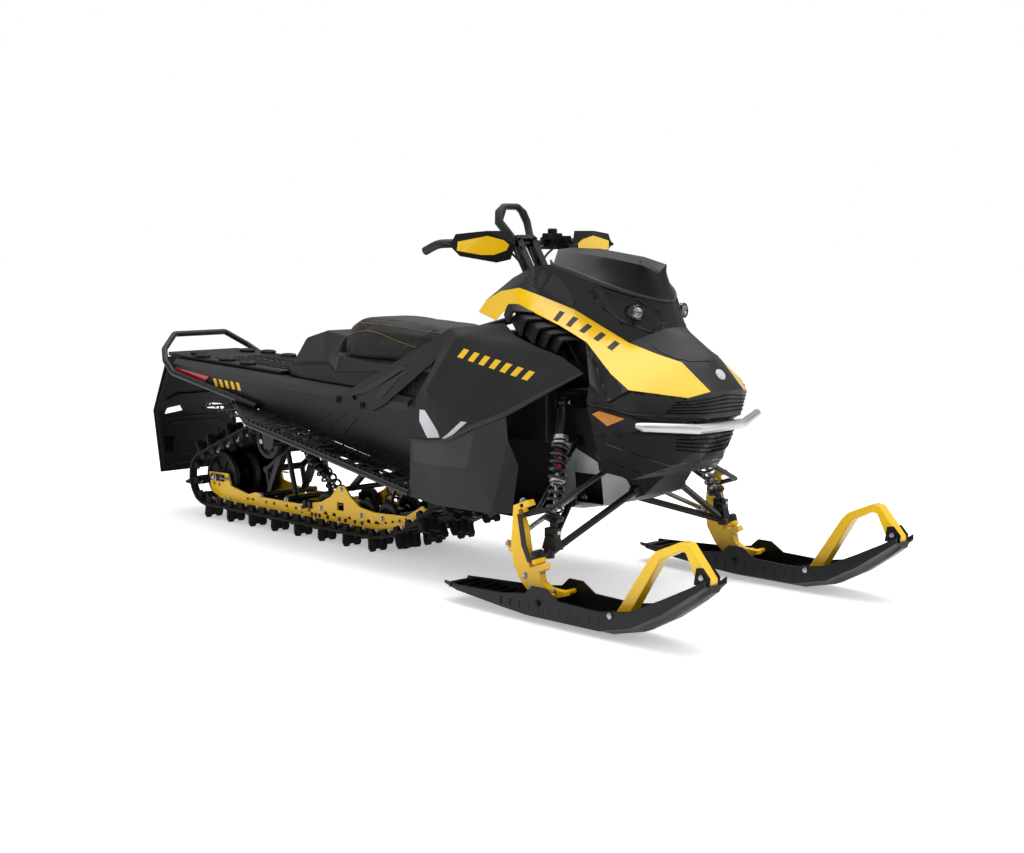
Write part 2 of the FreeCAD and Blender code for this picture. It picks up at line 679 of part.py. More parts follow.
def make_running_boards():
    body = new_body("board_right")
    inner = "0 - tunnelHalfWidth - seat"
    outer = "edgeTubeRadius / 2 - boardHalfWidth"
    front = "(boardFrontX - boardRearX) / cos(boardSlope * 1 deg)"
    corners = [("0 - boardTaper", inner), (front, inner), (front, outer), (0, outer)]
    pad(body, outline(body, "board_plan", "XY_Plane", corners), "boardSheet")
    slot_in, slot_out = "0 - tunnelHalfWidth - slotInset", "0 - tunnelHalfWidth - slotInset - slotWidth"
    slot = [("slotInset", slot_out), ("slotInset + slotLength", slot_out),
            ("slotInset + slotLength", slot_in), ("slotInset", slot_in)]
    first = outline(body, "slot_row", "XY_Plane", slot)
    cut = pocket(body, first, "boardSheet * 4")
    grid = body.newObject("PartDesign::MultiTransform", "slot_grid")
    grid.Originals = [cut]
    rows = []
    for axis, reach, count in (("H_Axis", "slotPitch * 12", 13), ("V_Axis", "slotPitch * 1.45", 3)):
        row = body.newObject("PartDesign::LinearPattern", "slots_" + axis)
        row.Direction = (first, [axis])
        row.Reversed = axis == "V_Axis"
        row.setExpression("Length", formula(reach))
        row.Occurrences = count
        rows.append(row)
    grid.Transformations = rows
    body.Tip = grid
    body.Placement = FreeCAD.Placement(Vec(), FreeCAD.Rotation(Vec(0, 1, 0), size("boardSlope")))
    body.setExpression("Placement.Base.x", formula("boardRearX"))
    body.setExpression("Placement.Base.z", formula("boardRearZ"))
    doc.recompute()
    half = size("boardHalfWidth")
    front = (size("boardFrontX"), -half, board_height(size("boardFrontX")))
    kink = (size("boardRearX"), -half, size("boardRearZ"))
    tail_x = size("boardRearX") - size("boardTaper")
    rear = (tail_x + 4, -size("tunnelHalfWidth") - size("edgeTubeRadius") * 1.2, board_height(tail_x) - 6)
    tube = shape_piece("board_tube", tube_shape([rear, kink, front], size("edgeTubeRadius"), 60))
    both_sides("running_boards", [fused("board_with_tube", [body, tube], False)])


make_running_boards()


def make_rear_end():
    """Grab rail, snow flap, tail lights and the deck with its anchor holes."""
    half = size("tunnelHalfWidth") + size("bumperRadius") + size("bumperStandoff")
    right = [(-785, -half, 484), (-1345, -half, 578), (-1410, -half + 6, 622), (-1468, -205, 664), (-1517, -124, 720)]
    left = [(x, -y, z) for x, y, z in reversed(right)]
    rail = [tube_shape(right + left, size("bumperRadius"), 24)]
    for x, z in ((-800, 486), (-1376, 598)):
        for side in (-1, 1):
            rail.append(rod_shape((x, side * half, z), (x, side * (size("tunnelHalfWidth") + size("seat")), z), 6))
    finish(shape_piece("rear_bumper", fuse_shapes(rail)), "rear_bumper")

    top_x = -1462
    top_z = tunnel_top(top_x) - size("seat")
    corners = [(top_x, top_z), (-1572, 408), (-1527, 156), ("flapSheet - 1527", 156),
               ("flapSheet - 1572", 407), ("flapSheet + %s" % top_x, top_z)]
    body = new_body("snow_flap")
    pad(body, outline(body, "flap_side", "XZ_Plane", corners), "flapHalfWidth * 2")
    for number, side in enumerate((-1, 1)):
        low = [(side * 170, 300), (side * 120, 300), (side * 130, 235), (side * 165, 235)]
        pocket(body, outline(body, "flap_window%d" % number, "YZ_Plane", low, "0 - 1550"), "200")
        slit = [(side * 150, 388), (side * 60, 398), (side * 75, 420), (side * 135, 412)]
        pocket(body, outline(body, "flap_slit%d" % number, "YZ_Plane", slit, "0 - 1560"), "200")
    finish(body, "snow_flap")

    light = plate("light_right", [(-1356, 600), (-1119, 576), (-1154, 552), (-1329, 578)], "lightThick",
                  "tunnelHalfWidth + seat + lightThick / 2")
    both_sides("tail_lights", [light])

    deck = new_body("deck_plate")
    edge = "deckHalfWidth"
    plan = [("0 - 109", edge + " - 20"), ("0 - 49", edge), ("deckLength", edge),
            ("deckLength", "0 - " + edge), ("0 - 49", "0 - " + edge), ("0 - 109", "20 - " + edge)]
    pad(deck, outline(deck, "deck_plan", "XY_Plane", plan), "deckThick", False)
    deck.Placement = FreeCAD.Placement(Vec(), FreeCAD.Rotation(Vec(0, 1, 0), size("tunnelSlope")))
    deck.setExpression("Placement.Base.x", formula("tunnelRearX"))
    deck.setExpression("Placement.Base.z", formula("tunnelRearTop + seat"))
    finish(bored_for_anchors("rear_deck", deck), "rear_deck")


make_rear_end()

# ---------------------------------------------------------------- seat and tank

def body_of_rows(rows):
    """Solid from rows of (x, top z, half width there, side z, half width there, low z, half width there)."""
    rings = []
    for x, top, top_half, side, half, low, low_half in rows:
        rings.append([(x, -top_half, top), (x, -half, side), (x, -low_half, low),
                      (x, low_half, low), (x, half, side), (x, top_half, top)])
    return rings_solid(rings)


SEAT_SHELF = 690
# Seat base: x, top z, half width at top, shoulder z, half width at shoulder
SEAT_BASE_ROWS = [(-700, 650, 120, 636, 165), (-634, 748, 118, 650, 196), (-541, 776, 100, 660, 205),
                  (-430, 764, 96, 668, 208), (-400, 700, 150, 672, 208), (-355, SEAT_SHELF, 160, 640, 208),
                  (60, SEAT_SHELF, 160, 668, 200)]
# Cushion: x, top z, half width at top, side z, half width at side, low z over the shelf, half width there
CUSHION_ROWS = [(-396, 800, 105, 760, 130, 12, 140), (-330, 828, 112, 790, 138, 3, 158),
                (-240, 830, 112, 792, 145, 0, 158), (60, 812, 112, 780, 150, 0, 158),
                (150, 800, 96, 776, 138, 16, 140)]
# Tank: x, top z, half width at top, shoulder z, half width at shoulder
TANK_ROWS = [(61, 688, 150, 668, 196), (154, 688, 150, 668, 196), (158, 770, 120, 720, 196),
             (300, 788, 120, 730, 196), (424, 788, 120, 730, 196)]


def make_seat_and_tank():
    gap = size("seat")
    base = [(x, top, top_half, side, half, tunnel_top(x) + gap, half - 6)
            for x, top, top_half, side, half in SEAT_BASE_ROWS]
    finish(shape_piece("seat_base", body_of_rows(base)), "seat_base")
    cushion = [(x, top, top_half, side, half, SEAT_SHELF + gap + lift, low_half)
               for x, top, top_half, side, half, lift, low_half in CUSHION_ROWS]
    finish(shape_piece("seat_cushion", body_of_rows(cushion)), "seat_cushion")
    tank = body_of_rows([(x, top, top_half, side, half, tunnel_top(x) + gap, half)
                         for x, top, top_half, side, half in TANK_ROWS])
    cap = Part.makeCylinder(size("capRadius"), 30, Vec(360, 0, 780))
    finish(shape_piece("fuel_tank", fuse_shapes([tank, cap])), "fuel_tank")


make_seat_and_tank()


def make_side_frames():
    corners = [(-360, 534), (-119, 518), (-54, 545), (110, 650), (286, 760), (286, 822), (-229, 590), (-300, 562)]
    slot = [(-229, 562), (60, 690), (72, 676), (-215, 548)]
    frame = plate("strut_right", corners, "strutThick", "tunnelHalfWidth + strutThick / 2 + seat", [slot],
                  [(-308, 545, 6), (-174, 534, 6)])
    both_sides("side_frames", [frame])


make_side_frames()

# ---------------------------------------------------------------- chassis front

# Bulkhead casting: x, top z, low z, half width at top, half width at the bottom
BULKHEAD_ROWS = [(690, 640, 262, 150, 112), (780, 652, 268, 168, 118), (880, 652, 288, 170, 112),
                 (1010, 560, 332, 112, 90), (1083, 520, 407, 84, 60)]
STEERING_AXIS = Vec(-math.sin(math.radians(size("postAngle"))), 0, math.cos(math.radians(size("postAngle"))))
BAR_CENTRE = Vec(size("barX"), 0, size("barZ"))
SHOCK_TOP = Vec(835, -262, 622)
SHOCK_LOW = Vec(922, -400, 246)


# Inner pivots of the suspension arms: (x, z), front one first
LOWER_PIVOTS = [(990, 346), (735, 284)]
UPPER_PIVOTS = [(985, 462), (790, 486)]


def bulkhead_half(x, z):
    """Half width of the bulkhead at a place along and a height."""
    for (x1, top1, low1, wide1, thin1), (x2, top2, low2, wide2, thin2) in zip(BULKHEAD_ROWS, BULKHEAD_ROWS[1:]):
        if x <= x2:
            break
    share = (x - x1) / (x2 - x1)
    top, low = top1 + (top2 - top1) * share, low1 + (low2 - low1) * share
    wide, thin = wide1 + (wide2 - wide1) * share, thin1 + (thin2 - thin1) * share
    return thin + (wide - thin) * (z - low) / (top - low)


def inner_bush(x, z, side, grow=0):
    """Arm's inner bush, let a little way into the bulkhead's side, and its centre."""
    radius, width = size("innerEyeRadius"), size("innerEyeWidth") + grow * 2
    centre = Vec(x, side * (bulkhead_half(x, z) + radius - size("bushInset")), z)
    return Part.makeCylinder(radius + grow, width, centre - Vec(width / 2, 0, 0), Vec(1, 0, 0)), centre


def make_chassis_front():
    engine = doc.addObject("Part::Box", "engine_block")
    for side, words in (("Length", "bulkheadX - engineX - seat"), ("Width", "engineWidth"), ("Height", "engineHeight"),
                        ("Placement.Base.x", "engineX"), ("Placement.Base.y", "0 - engineWidth / 2"),
                        ("Placement.Base.z", "engineZ")):
        engine.setExpression(side, formula(words))
    finish(engine, "engine")

    rings = [[(x, -wide, top), (x, -thin, low), (x, thin, low), (x, wide, top)]
             for x, top, low, wide, thin in BULKHEAD_ROWS]
    casting = rings_solid(rings)
    ear_gap, ear = size("eyeWidth") / 2 + size("faceClearance"), size("earThick")
    for side in (-1, 1):
        for x in (SHOCK_TOP.x - ear_gap - ear, SHOCK_TOP.x + ear_gap):
            casting = casting.fuse(Part.makeBox(ear, 150, 44, Vec(x, side * 205 - 75, SHOCK_TOP.z - 22)))
        bolt = Vec(SHOCK_TOP.x - ear_gap - ear, side * -SHOCK_TOP.y, SHOCK_TOP.z)
        casting = casting.fuse(Part.makeCylinder(size("shockPinRadius"), 2 * (ear_gap + ear), bolt, Vec(1, 0, 0)))
        for x, z in LOWER_PIVOTS + UPPER_PIVOTS:
            casting = casting.cut(inner_bush(x, z, side, size("seat"))[0])
    window = Part.makeBox(110, 400, 96, Vec(756, -200, 288))
    finish(shape_piece("bulkhead", casting.cut(window).removeSplitter()), "bulkhead")

    wall = new_body("under_tray")
    sheet_thick = "tunnelSheet"
    corners = [("tunnelFrontX + seat", "engineZ - seat"), ("tunnelFrontX + seat", "trayZ - " + sheet_thick),
               ("bulkheadX", "trayZ - " + sheet_thick), ("bulkheadX", "trayZ"),
               ("tunnelFrontX + seat + " + sheet_thick, "trayZ"),
               ("tunnelFrontX + seat + " + sheet_thick, "engineZ - seat")]
    pad(wall, outline(wall, "tray_side", "XZ_Plane", corners), "trayHalfWidth * 2")
    finish(wall, "under_tray")

    inner = "0 - tunnelHalfWidth - seat"
    low = board_height(size("boardFrontX")) + size("boardSheet")
    shape = [(inner, low), (-370, low), (-370, low + 12), (-381.9, low + 12), (-378, 460), (-352, 590), (inner, 640)]
    panel = new_body("foot_well_right")
    pad(panel, outline(panel, "foot_well_outline", "YZ_Plane", shape, "boardFrontX + seat * 2"), "panelWall", False)
    both_sides("foot_wells", [panel])


def across_boss(centre, radius, length):
    return Part.makeCylinder(radius, length, centre - Vec(0, length / 2, 0), Vec(0, 1, 0))


def make_upper_frame():
    """Tubes from the steering bearing down to the bulkhead and back to the side frames."""
    radius = size("frameTubeRadius")
    post, clearance = size("postRadius"), size("pinClearance")
    low = BAR_CENTRE - STEERING_AXIS * (size("postLength") + size("columnLength"))
    high = low + STEERING_AXIS * size("bearingLength")
    parts = [Part.makeCylinder(post + 14, size("bearingLength"), low, STEERING_AXIS)]
    middle = (low + high) * 0.5
    for side in (-1, 1):
        knee = Vec(268, side * (size("tunnelHalfWidth") - 14), 792)
        parts.append(rod_shape(tuple(middle), tuple(knee), radius))
        parts.append(across_boss(knee, radius + 4, 28))
        foot = Vec(830, side * 120, 668)
        parts.append(rod_shape(tuple(middle), tuple(foot), radius))
        parts.append(rod_shape(tuple(foot + Vec(0, 0, 10)), (830, side * 120, 652 + size("seat")), radius + 3))
    frame = fuse_shapes(parts)
    bore = Part.makeCylinder(post + clearance, size("bearingLength") * 3, low - STEERING_AXIS * size("bearingLength"),
                             STEERING_AXIS)
    finish(shape_piece("upper_frame", frame.cut(bore)), "upper_frame")


make_chassis_front()
make_upper_frame()

# ---------------------------------------------------------------- body panels

# Right-hand corners of the front bodywork: name, (x, distance out, z)
NOSE_CORNERS = {
    # hood band, inner edge (u) and outer edge (l), rear to front
    "u0": (412, 190, 918), "u1": (471, 182, 949), "u2": (556, 180, 962), "u3": (638, 178, 942),
    "u4": (789, 168, 900), "u5": (992, 142, 805), "u6": (1085, 118, 774), "u7": (1160, 93, 752),
    "u8": (1259, 76, 669),
    "l0": (390, 204, 880), "l1": (507, 240, 858), "l2": (534, 232, 886), "l3": (638, 222, 896),
    "l4": (788, 232, 852), "l5": (909, 244, 809), "l6": (1035, 272, 721), "l7": (1104, 268, 676),
    "l8": (1224, 140, 652),
    # cowl: upper edge (c), the brow under the screen (d), nose (e) and centre line (m)
    "c0": (450, 104, 990), "c1": (560, 118, 1030), "c2": (692, 164, 1038), "c3": (868, 150, 990),
    "c4": (962, 98, 954), "c5": (1022, 44, 924), "d1": (1056, 52, 846), "e1": (1102, 66, 806),
    "c6": (1192, 40, 757),
    "m4": (1038, 0, 922), "md": (1070, 0, 850), "m5": (1112, 0, 828), "m6": (1200, 0, 762), "m7": (1268, 0, 668),
    # screen over the cowl: rear (r), crest (s), front shoulder (t)
    "r1": (650, 100, 1084), "s1": (850, 88, 1060), "t1": (968, 58, 1038),
    "mr": (616, 0, 1088), "ms": (840, 0, 1066), "mt": (985, 0, 1012),
    # corner panel under the band (k), lower corner (w), belly (b), intake (g) and step under it (n)
    "k1": (994, 318, 691), "k2": (985, 322, 634), "kb": (1045, 294, 638), "ks": (1088, 242, 599),
    "kg": (1150, 170, 592), "kh": (1250, 80, 590), "wk": (1110, 218, 569), "w1": (1005, 312, 540),
    "w2": (1082, 246, 542), "w3": (1205, 100, 530), "ng": (1140, 165, 575), "nh": (1216, 88, 572),
    "b1": (985, 265, 423), "b2": (1060, 200, 397), "b3": (1160, 110, 445), "b4": (1205, 55, 490),
    "m8": (1256, 0, 588), "mn": (1224, 0, 570), "m9": (1214, 0, 530), "m10": (1160, 0, 440), "m11": (1092, 0, 402),
}
NOSE_PANELS = {
    "hood_bands": ["u0 l0 l1 u1", "u1 l1 l2 u2", "u2 l2 l3 u3", "u3 l3 l4 u4", "u4 l4 l5 u5",
                   "u5 l5 l6 u6", "u6 l6 l7 u7", "u7 l7 l8 u8"],
    "cowl": ["c0 u0 u1", "c0 u1 u2 c1", "c1 u2 u3 c2", "c2 u3 u4 c3", "c3 u4 u5 c4", "c4 u5 d1 c5",
             "d1 u5 u6 e1", "e1 u6 u7 c6", "c5 d1 md m4", "d1 e1 m5 md", "e1 c6 m6 m5", "c6 u7 u8 m7", "m6 c6 m7"],
    "windshield": ["mr r1 s1 ms", "r1 c2 c3 s1", "ms s1 t1 mt", "s1 c3 c4 t1", "mt t1 c5 m4", "t1 c4 c5"],
    "corner_panels": ["l5 k1 kb l6", "l6 kb l7", "k1 k2 kb", "k2 ks kb", "kb ks l7", "l7 ks kg l8",
                      "k2 w1 w2 ks", "ks w2 wk"],
    "nose_grille": ["l8 kg kh u8", "u8 kh m8 m7"],
    "belly_pan": ["ks wk ng kg", "wk w2 ng", "kg ng nh kh", "kh nh mn m8", "ng w2 w3 nh", "nh w3 m9 mn",
                  "w1 b1 b2 w2", "w2 b2 b3 w3", "w3 b3 b4", "w3 b4 m9", "b4 b3 m10", "b4 m10 m9", "b3 b2 m11 m10"],
}
WHOLE_PANELS = ("cowl", "windshield", "nose_grille", "belly_pan")


def lamp_shape(side, radius, depth):
    place = Vec(size("lampX"), side * size("lampY"), size("lampZ"))
    forward = Vec(1, side * 0.25, 0.05).normalize()
    return Part.makeCylinder(radius, depth, place - forward * (depth / 2), forward)


def make_nose():
    right = {name: Vec(x, -out, z) for name, (x, out, z) in NOSE_CORNERS.items()}
    cells = {panel: split_quads(rows) for panel, rows in NOSE_PANELS.items()}
    normals = vertex_normals(right, [face for rows in cells.values() for face in rows])
    for name, (x, out, z) in NOSE_CORNERS.items():
        if out == 0:
            normals[name] = Vec(normals[name].x, 0, normals[name].z).normalize()
    for panel, rows in cells.items():
        half = folded_panel(right, normals, rows, size("panelWall"))
        if panel == "cowl":
            half = half.cut(lamp_shape(-1, size("lampRadius") + size("seat"), 120))
        piece = shape_piece(panel + "_right", half)
        if panel in WHOLE_PANELS:
            finish(fused(panel, [piece, mirrored(piece, panel + "_left")]), panel)
        else:
            both_sides(panel, [piece])
    compound("headlights", [shape_piece("lamp%d" % (side + 1), lamp_shape(side, size("lampRadius"), size("lampDepth")))
                            for side in (-1, 1)])
    make_reflectors(right)


# Corners of the lozenge on the lower corner face: share along it, share down it
REFLECTOR_SHARES = [(0.10, 0.32), (0.27, 0.17), (0.88, 0.25), (0.43, 0.69)]


def make_reflectors(right):
    """Lozenges laid on the lower corners."""
    face = [right[name] for name in ("k2", "ks", "w2", "w1")]
    flat = (face[1] - face[0]).cross(face[3] - face[0])
    flat.normalize()
    if flat.x < 0:
        flat = flat * -1
    corners = []
    for along, down in REFLECTOR_SHARES:
        upper = face[0] + (face[1] - face[0]) * along
        lower = face[3] + (face[2] - face[3]) * along
        point = upper + (lower - upper) * down
        corners.append(point - flat * (point - face[0]).dot(flat))
    lift = flat * size("seat")
    plate_face = Part.Face(Part.makePolygon([corner + lift for corner in corners + corners[:1]]))
    both_sides("reflectors", [shape_piece("reflector_right", plate_face.extrude(flat * size("lightThick")))])


make_nose()

# Right-hand corners of the side bodywork: name, (x, distance out, z)
SIDE_CORNERS = {
    "a": (327, 270, 828), "b": (550, 240, 851), "c": (622, 260, 814), "d": (728, 280, 788),
    "e": (856, 300, 764), "f": (971, 322, 722), "g": (836, 360, 652), "h": (704, 385, 584),
    "i": (570, 395, 534), "j": (436, 400, 478), "k": (261, 388, 466), "n": (263, 362, 604),
    "o": (304, 312, 724), "p": (388, 300, 802), "q": (326, 378, 632),
    "r": (250.9, 385, 276), "t": (391, 385, 262), "v": (628, 375, 262), "w": (702, 356, 270),
    "x": (715, 340, 420), "y": (704, 375, 500),
}
SIDE_PANELS = {
    "side_panels": ["a o p", "o n q p", "n k q", "a p b", "b p c", "c p d", "d p g e", "e g f",
                    "p q h g", "q i h", "q k j i"],
    "lower_panels": ["k r t j", "j t v i", "i v y h", "v w x y"],
}


def make_side_panels():
    right = {name: Vec(x, -out, z) for name, (x, out, z) in SIDE_CORNERS.items()}
    cells = {panel: split_quads(rows) for panel, rows in SIDE_PANELS.items()}
    normals = vertex_normals(right, [face for rows in cells.values() for face in rows])
    for panel, rows in cells.items():
        both_sides(panel, [shape_piece(panel + "_right", folded_panel(right, normals, rows, size("panelWall")))])


make_side_panels()

# Vent blades between the hood band and the side panel: x of the upper end, z there, x and z of the lower end
VENT_BLADES = [(575, 858, 640, 770), (635, 860, 700, 762), (695, 850, 760, 754),
               (752, 834, 815, 746), (808, 816, 866, 738)]


def make_vents():
    """Backing sheet with a row of slanting blades standing out from it."""
    back = plate("vent_back", [(560, 895.6), (640, 903.6), (800, 861.6), (884, 821.6), (900, 700), (610, 740)],
                 "panelWall", "ventY")
    parts = [back]
    for number, (x1, z1, x2, z2) in enumerate(VENT_BLADES):
        corners = [(x1, z1), ("%s + bladeThick" % x1, z1), ("%s + bladeThick" % x2, z2), (x2, z2)]
        parts.append(plate("vent_blade%d" % number, corners, "bladeDepth", "ventY + bladeDepth / 2"))
    both_sides("vent_louvres", [fused("vent_right", parts)])


make_vents()


def make_front_bumper():
    x, z = size("noseBarX"), size("noseBarZ")
    path = [(x - 81, -282, z + 14), (x, -108, z), (x, 108, z), (x - 81, 282, z + 14)]
    parts = [tube_shape(path, size("bumperBarRadius"), 16)]
    for side in (-1, 1):
        parts.append(rod_shape((size("noseBarX") - 25.3, side * 60, z), (x, side * 60, z), 6))
    finish(shape_piece("front_bumper", fuse_shapes(parts)), "front_bumper")


make_front_bumper()

# ---------------------------------------------------------------- front suspension and steering

CASTER = math.radians(size("casterAngle"))
KINGPIN_AXIS = Vec(-math.sin(CASTER), 0, math.cos(CASTER))
KINGPIN_LOW = Vec(size("kingpinX"), -size("stance") / 2, size("kingpinZ"))
KINGPIN_TOP = KINGPIN_LOW + KINGPIN_AXIS * size("kingpinSpan")
TIE_ROD_END = KINGPIN_LOW + Vec(-size("steeringArm"), 0, 26)


def arm_eye(place):
    """Eye of an arm round the kingpin line, and the hole to cut through it."""
    height = size("armEyeHeight")
    start = place - KINGPIN_AXIS * (height / 2)
    hole = Part.makeCylinder(size("kingpinRadius") + size("pinClearance"), height * 4,
                             place - KINGPIN_AXIS * height * 2, KINGPIN_AXIS)
    return Part.makeCylinder(size("jointEyeRadius"), height, start, KINGPIN_AXIS), hole


def make_arms():
    radius, thin = size("armTubeRadius"), size("upperArmRadius")
    eye, hole = arm_eye(KINGPIN_LOW)
    reach = KINGPIN_LOW + Vec(0, 46, 8)
    stub = rod_shape(tuple(KINGPIN_LOW), tuple(reach), radius)
    parts = [eye.fuse(stub).cut(hole), Part.makeCylinder(radius + 6, 30, reach - Vec(0, 0, 15))]
    for (x, z), apart in zip(LOWER_PIVOTS, (5, -5)):
        bush, centre = inner_bush(x, z, -1)
        parts += [bush, rod_shape(tuple(reach + Vec(apart, 0, 0)), tuple(centre), radius)]
    ear_gap, ear = size("eyeWidth") / 2 + size("faceClearance"), size("earThick")
    floor = KINGPIN_LOW.z + 16
    for x in (SHOCK_LOW.x - ear_gap - ear, SHOCK_LOW.x + ear_gap):
        parts.append(Part.makeBox(ear, 26, SHOCK_LOW.z + 12 - floor, Vec(x, SHOCK_LOW.y - 13, floor)))
    base = Vec(SHOCK_LOW.x - ear_gap - ear, SHOCK_LOW.y - 13, floor)
    parts.append(Part.makeBox(2 * (ear_gap + ear), 26, 9, base))
    bolt = SHOCK_LOW - Vec(ear_gap + ear, 0, 0)
    parts.append(Part.makeCylinder(size("shockPinRadius"), 2 * (ear_gap + ear), bolt, Vec(1, 0, 0)))
    both_sides("lower_arms", [shape_piece("lower_arm_right", fuse_shapes(parts))])

    eye, hole = arm_eye(KINGPIN_TOP)
    parts = [eye]
    for bend, (x, z) in zip((Vec(952, -438, 324), Vec(868, -412, 307)), UPPER_PIVOTS):
        bush, centre = inner_bush(x, z, -1)
        parts += [bush, rod_shape(tuple(KINGPIN_TOP), tuple(bend), thin), Part.makeSphere(thin, bend),
                  rod_shape(tuple(bend), tuple(centre), thin)]
    both_sides("upper_arms", [shape_piece("upper_arm_right", fuse_shapes(parts).cut(hole))])

    shock = coil_over(tuple(SHOCK_LOW), tuple(SHOCK_TOP), size("springRadius"), size("shockBodyRadius"),
                      (1, 0, 0), size("shockPinRadius"))
    both_sides("front_shocks", [shape_piece("front_shock_right", shock)])


make_arms()

# Spindle outline from its top rear corner, clockwise: (x, z)
SPINDLE_CORNERS = [(828, 324), (889, 347), (897, 331), (848, 312), (872, 262), (884, 192), (898, 144),
                   (956, 164), (964, 148), (938, 134), (946, 106), (975, 92), (1040, 90), (1040, 78), (990, 62),
                   (905, 62), (862, 96), (828, 146), (818, 210)]


def make_spindles_and_tie_rods():
    body = plate("spindle_column", SPINDLE_CORNERS, "spindleThick", "stance / 2")
    radius, height = size("kingpinRadius"), size("armEyeHeight")
    low_pin = Part.makeCylinder(radius, height * 2.8, KINGPIN_LOW - KINGPIN_AXIS * height * 2.2, KINGPIN_AXIS)
    top_pin = Part.makeCylinder(radius, height * 2.2, KINGPIN_TOP - KINGPIN_AXIS * height * 0.6, KINGPIN_AXIS)
    ear_end = TIE_ROD_END - KINGPIN_AXIS * size("tieRodDrop")
    ear = rod_shape((834, -size("stance") / 2, 189), tuple(ear_end), size("tieRodRadius"))
    ear = ear.fuse(Part.makeCylinder(size("tiePinRadius"), size("tieRodDrop") + 12, ear_end, KINGPIN_AXIS))
    bolt_half = size("skiHalfWidth") - size("skiWall") - size("seat")
    middle = -size("stance") / 2
    bolt = rod_shape((size("skiBoltX"), middle - bolt_half, size("skiBoltZ")),
                     (size("skiBoltX"), middle + bolt_half, size("skiBoltZ")), 8)
    pieces = [body] + [shape_piece(name, shape) for name, shape in (("low_pin", low_pin), ("top_pin", top_pin),
                                                                    ("steering_ear", ear), ("ski_bolt", bolt))]
    right = finish(fused("spindle_right", pieces), "spindle_right")
    finish(mirrored(right, "spindle_left"), "spindle_left")

    rod = rod_shape(tuple(TIE_ROD_END), (TIE_ROD_END.x, -130, 334), size("tieRodRadius"))
    eye_half = 6
    rod = rod.cut(Part.makeCylinder(20, 40, TIE_ROD_END + KINGPIN_AXIS * eye_half, KINGPIN_AXIS))
    rod = rod.cut(Part.makeCylinder(20, 40, TIE_ROD_END - KINGPIN_AXIS * (40 + eye_half), KINGPIN_AXIS))
    rod = rod.fuse(Part.makeCylinder(size("tiePinRadius") + 6, eye_half * 2,
                                     TIE_ROD_END - KINGPIN_AXIS * eye_half, KINGPIN_AXIS))
    rod = rod.cut(Part.makeCylinder(size("tiePinRadius") + size("pinClearance"), 60,
                                    TIE_ROD_END - KINGPIN_AXIS * 30, KINGPIN_AXIS))
    right = finish(shape_piece("tie_rod_right", rod), "tie_rod_right")
    finish(mirrored(right, "tie_rod_left"), "tie_rod_left")


make_spindles_and_tie_rods()

# Ski sections: x, underside z, top z of the side wall, half width
SKI_ROWS = [(560, 46, 62, 52), (640, 36, 62, 70), (846, 20, 70, 80), (945, 13, 84, 82), (975, 12, 110, 82),
            (1030, 12, 110, 82), (1080, 12, 80, 82), (1240, 13, 76, 82), (1358, 40, 96, 81),
            (1466, 96, 145, 76), (1557, 158, 190, 66), (1594, 186, 212, 50)]


def ski_floor(x):
    """Height of the ski's trough at a place along it."""
    for (x1, base1, top1, half1), (x2, base2, top2, half2) in zip(SKI_ROWS, SKI_ROWS[1:]):
        if x <= x2:
            break
    share = (x - x1) / (x2 - x1)
    start, end = min(base1 + size("skiFloor"), top1 - 2), min(base2 + size("skiFloor"), top2 - 2)
    return start + (end - start) * share


def make_skis():
    middle = -size("stance") / 2
    wall, keel, keel_half = size("skiWall"), size("keelDepth"), size("keelHalfWidth")
    widest = max(half for x, base, top, half in SKI_ROWS)
    rings = []
    for x, base, top, half in SKI_ROWS:
        half = half * size("skiHalfWidth") / widest
        floor = ski_floor(x)
        ring = [(-half, top), (-half, base + 7), (-half * 0.5, base), (-keel_half, base - keel),
                (keel_half, base - keel), (half * 0.5, base), (half, base + 7), (half, top),
                (half - wall, top), (half - wall, floor), (wall - half, floor), (wall - half, top)]
        rings.append([(x, middle + y, z) for y, z in ring])
    right = finish(shape_piece("ski_right", rings_solid(rings)), "ski_right")
    finish(mirrored(right, "ski_left"), "ski_left")

    foot = size("seat")
    corners = [(1234, ski_floor(1234) + foot), (1250, 66), (1372, 240), (1395, 262), (1484, 300), (1510, 298),
               (1588, ski_floor(1588) + 20), (1588, ski_floor(1588) + foot), (1557, ski_floor(1557) + foot),
               (1502, 272), (1484, 274), (1412, 240), (1300, 66), (1294, ski_floor(1294) + foot),
               (1240, ski_floor(1240) + foot)]
    right = finish(plate("ski_loop_right", corners, "loopWidth", "stance / 2"), "ski_loop_right")
    finish(mirrored(right, "ski_loop_left"), "ski_loop_left")


make_skis()

# ---------------------------------------------------------------- handlebar

BAR_BEND_X, BAR_HOOK_X, BAR_SWEEP = 14, 45, 30


# Strap loop above the bar, right half: how far behind the bar, distance out, height over the bar
STRAP_POINTS = [(10, 40, 0), (55, 62, 70), (62, 34, 122)]
# Switch blocks round the bar: rear face behind the bar, inner side, foot below the bar, length, width, height
CONTROL_BLOCKS = [(22, 96, 20, 52, 64, 40), (20, -158, 22, 44, 52, 40)]


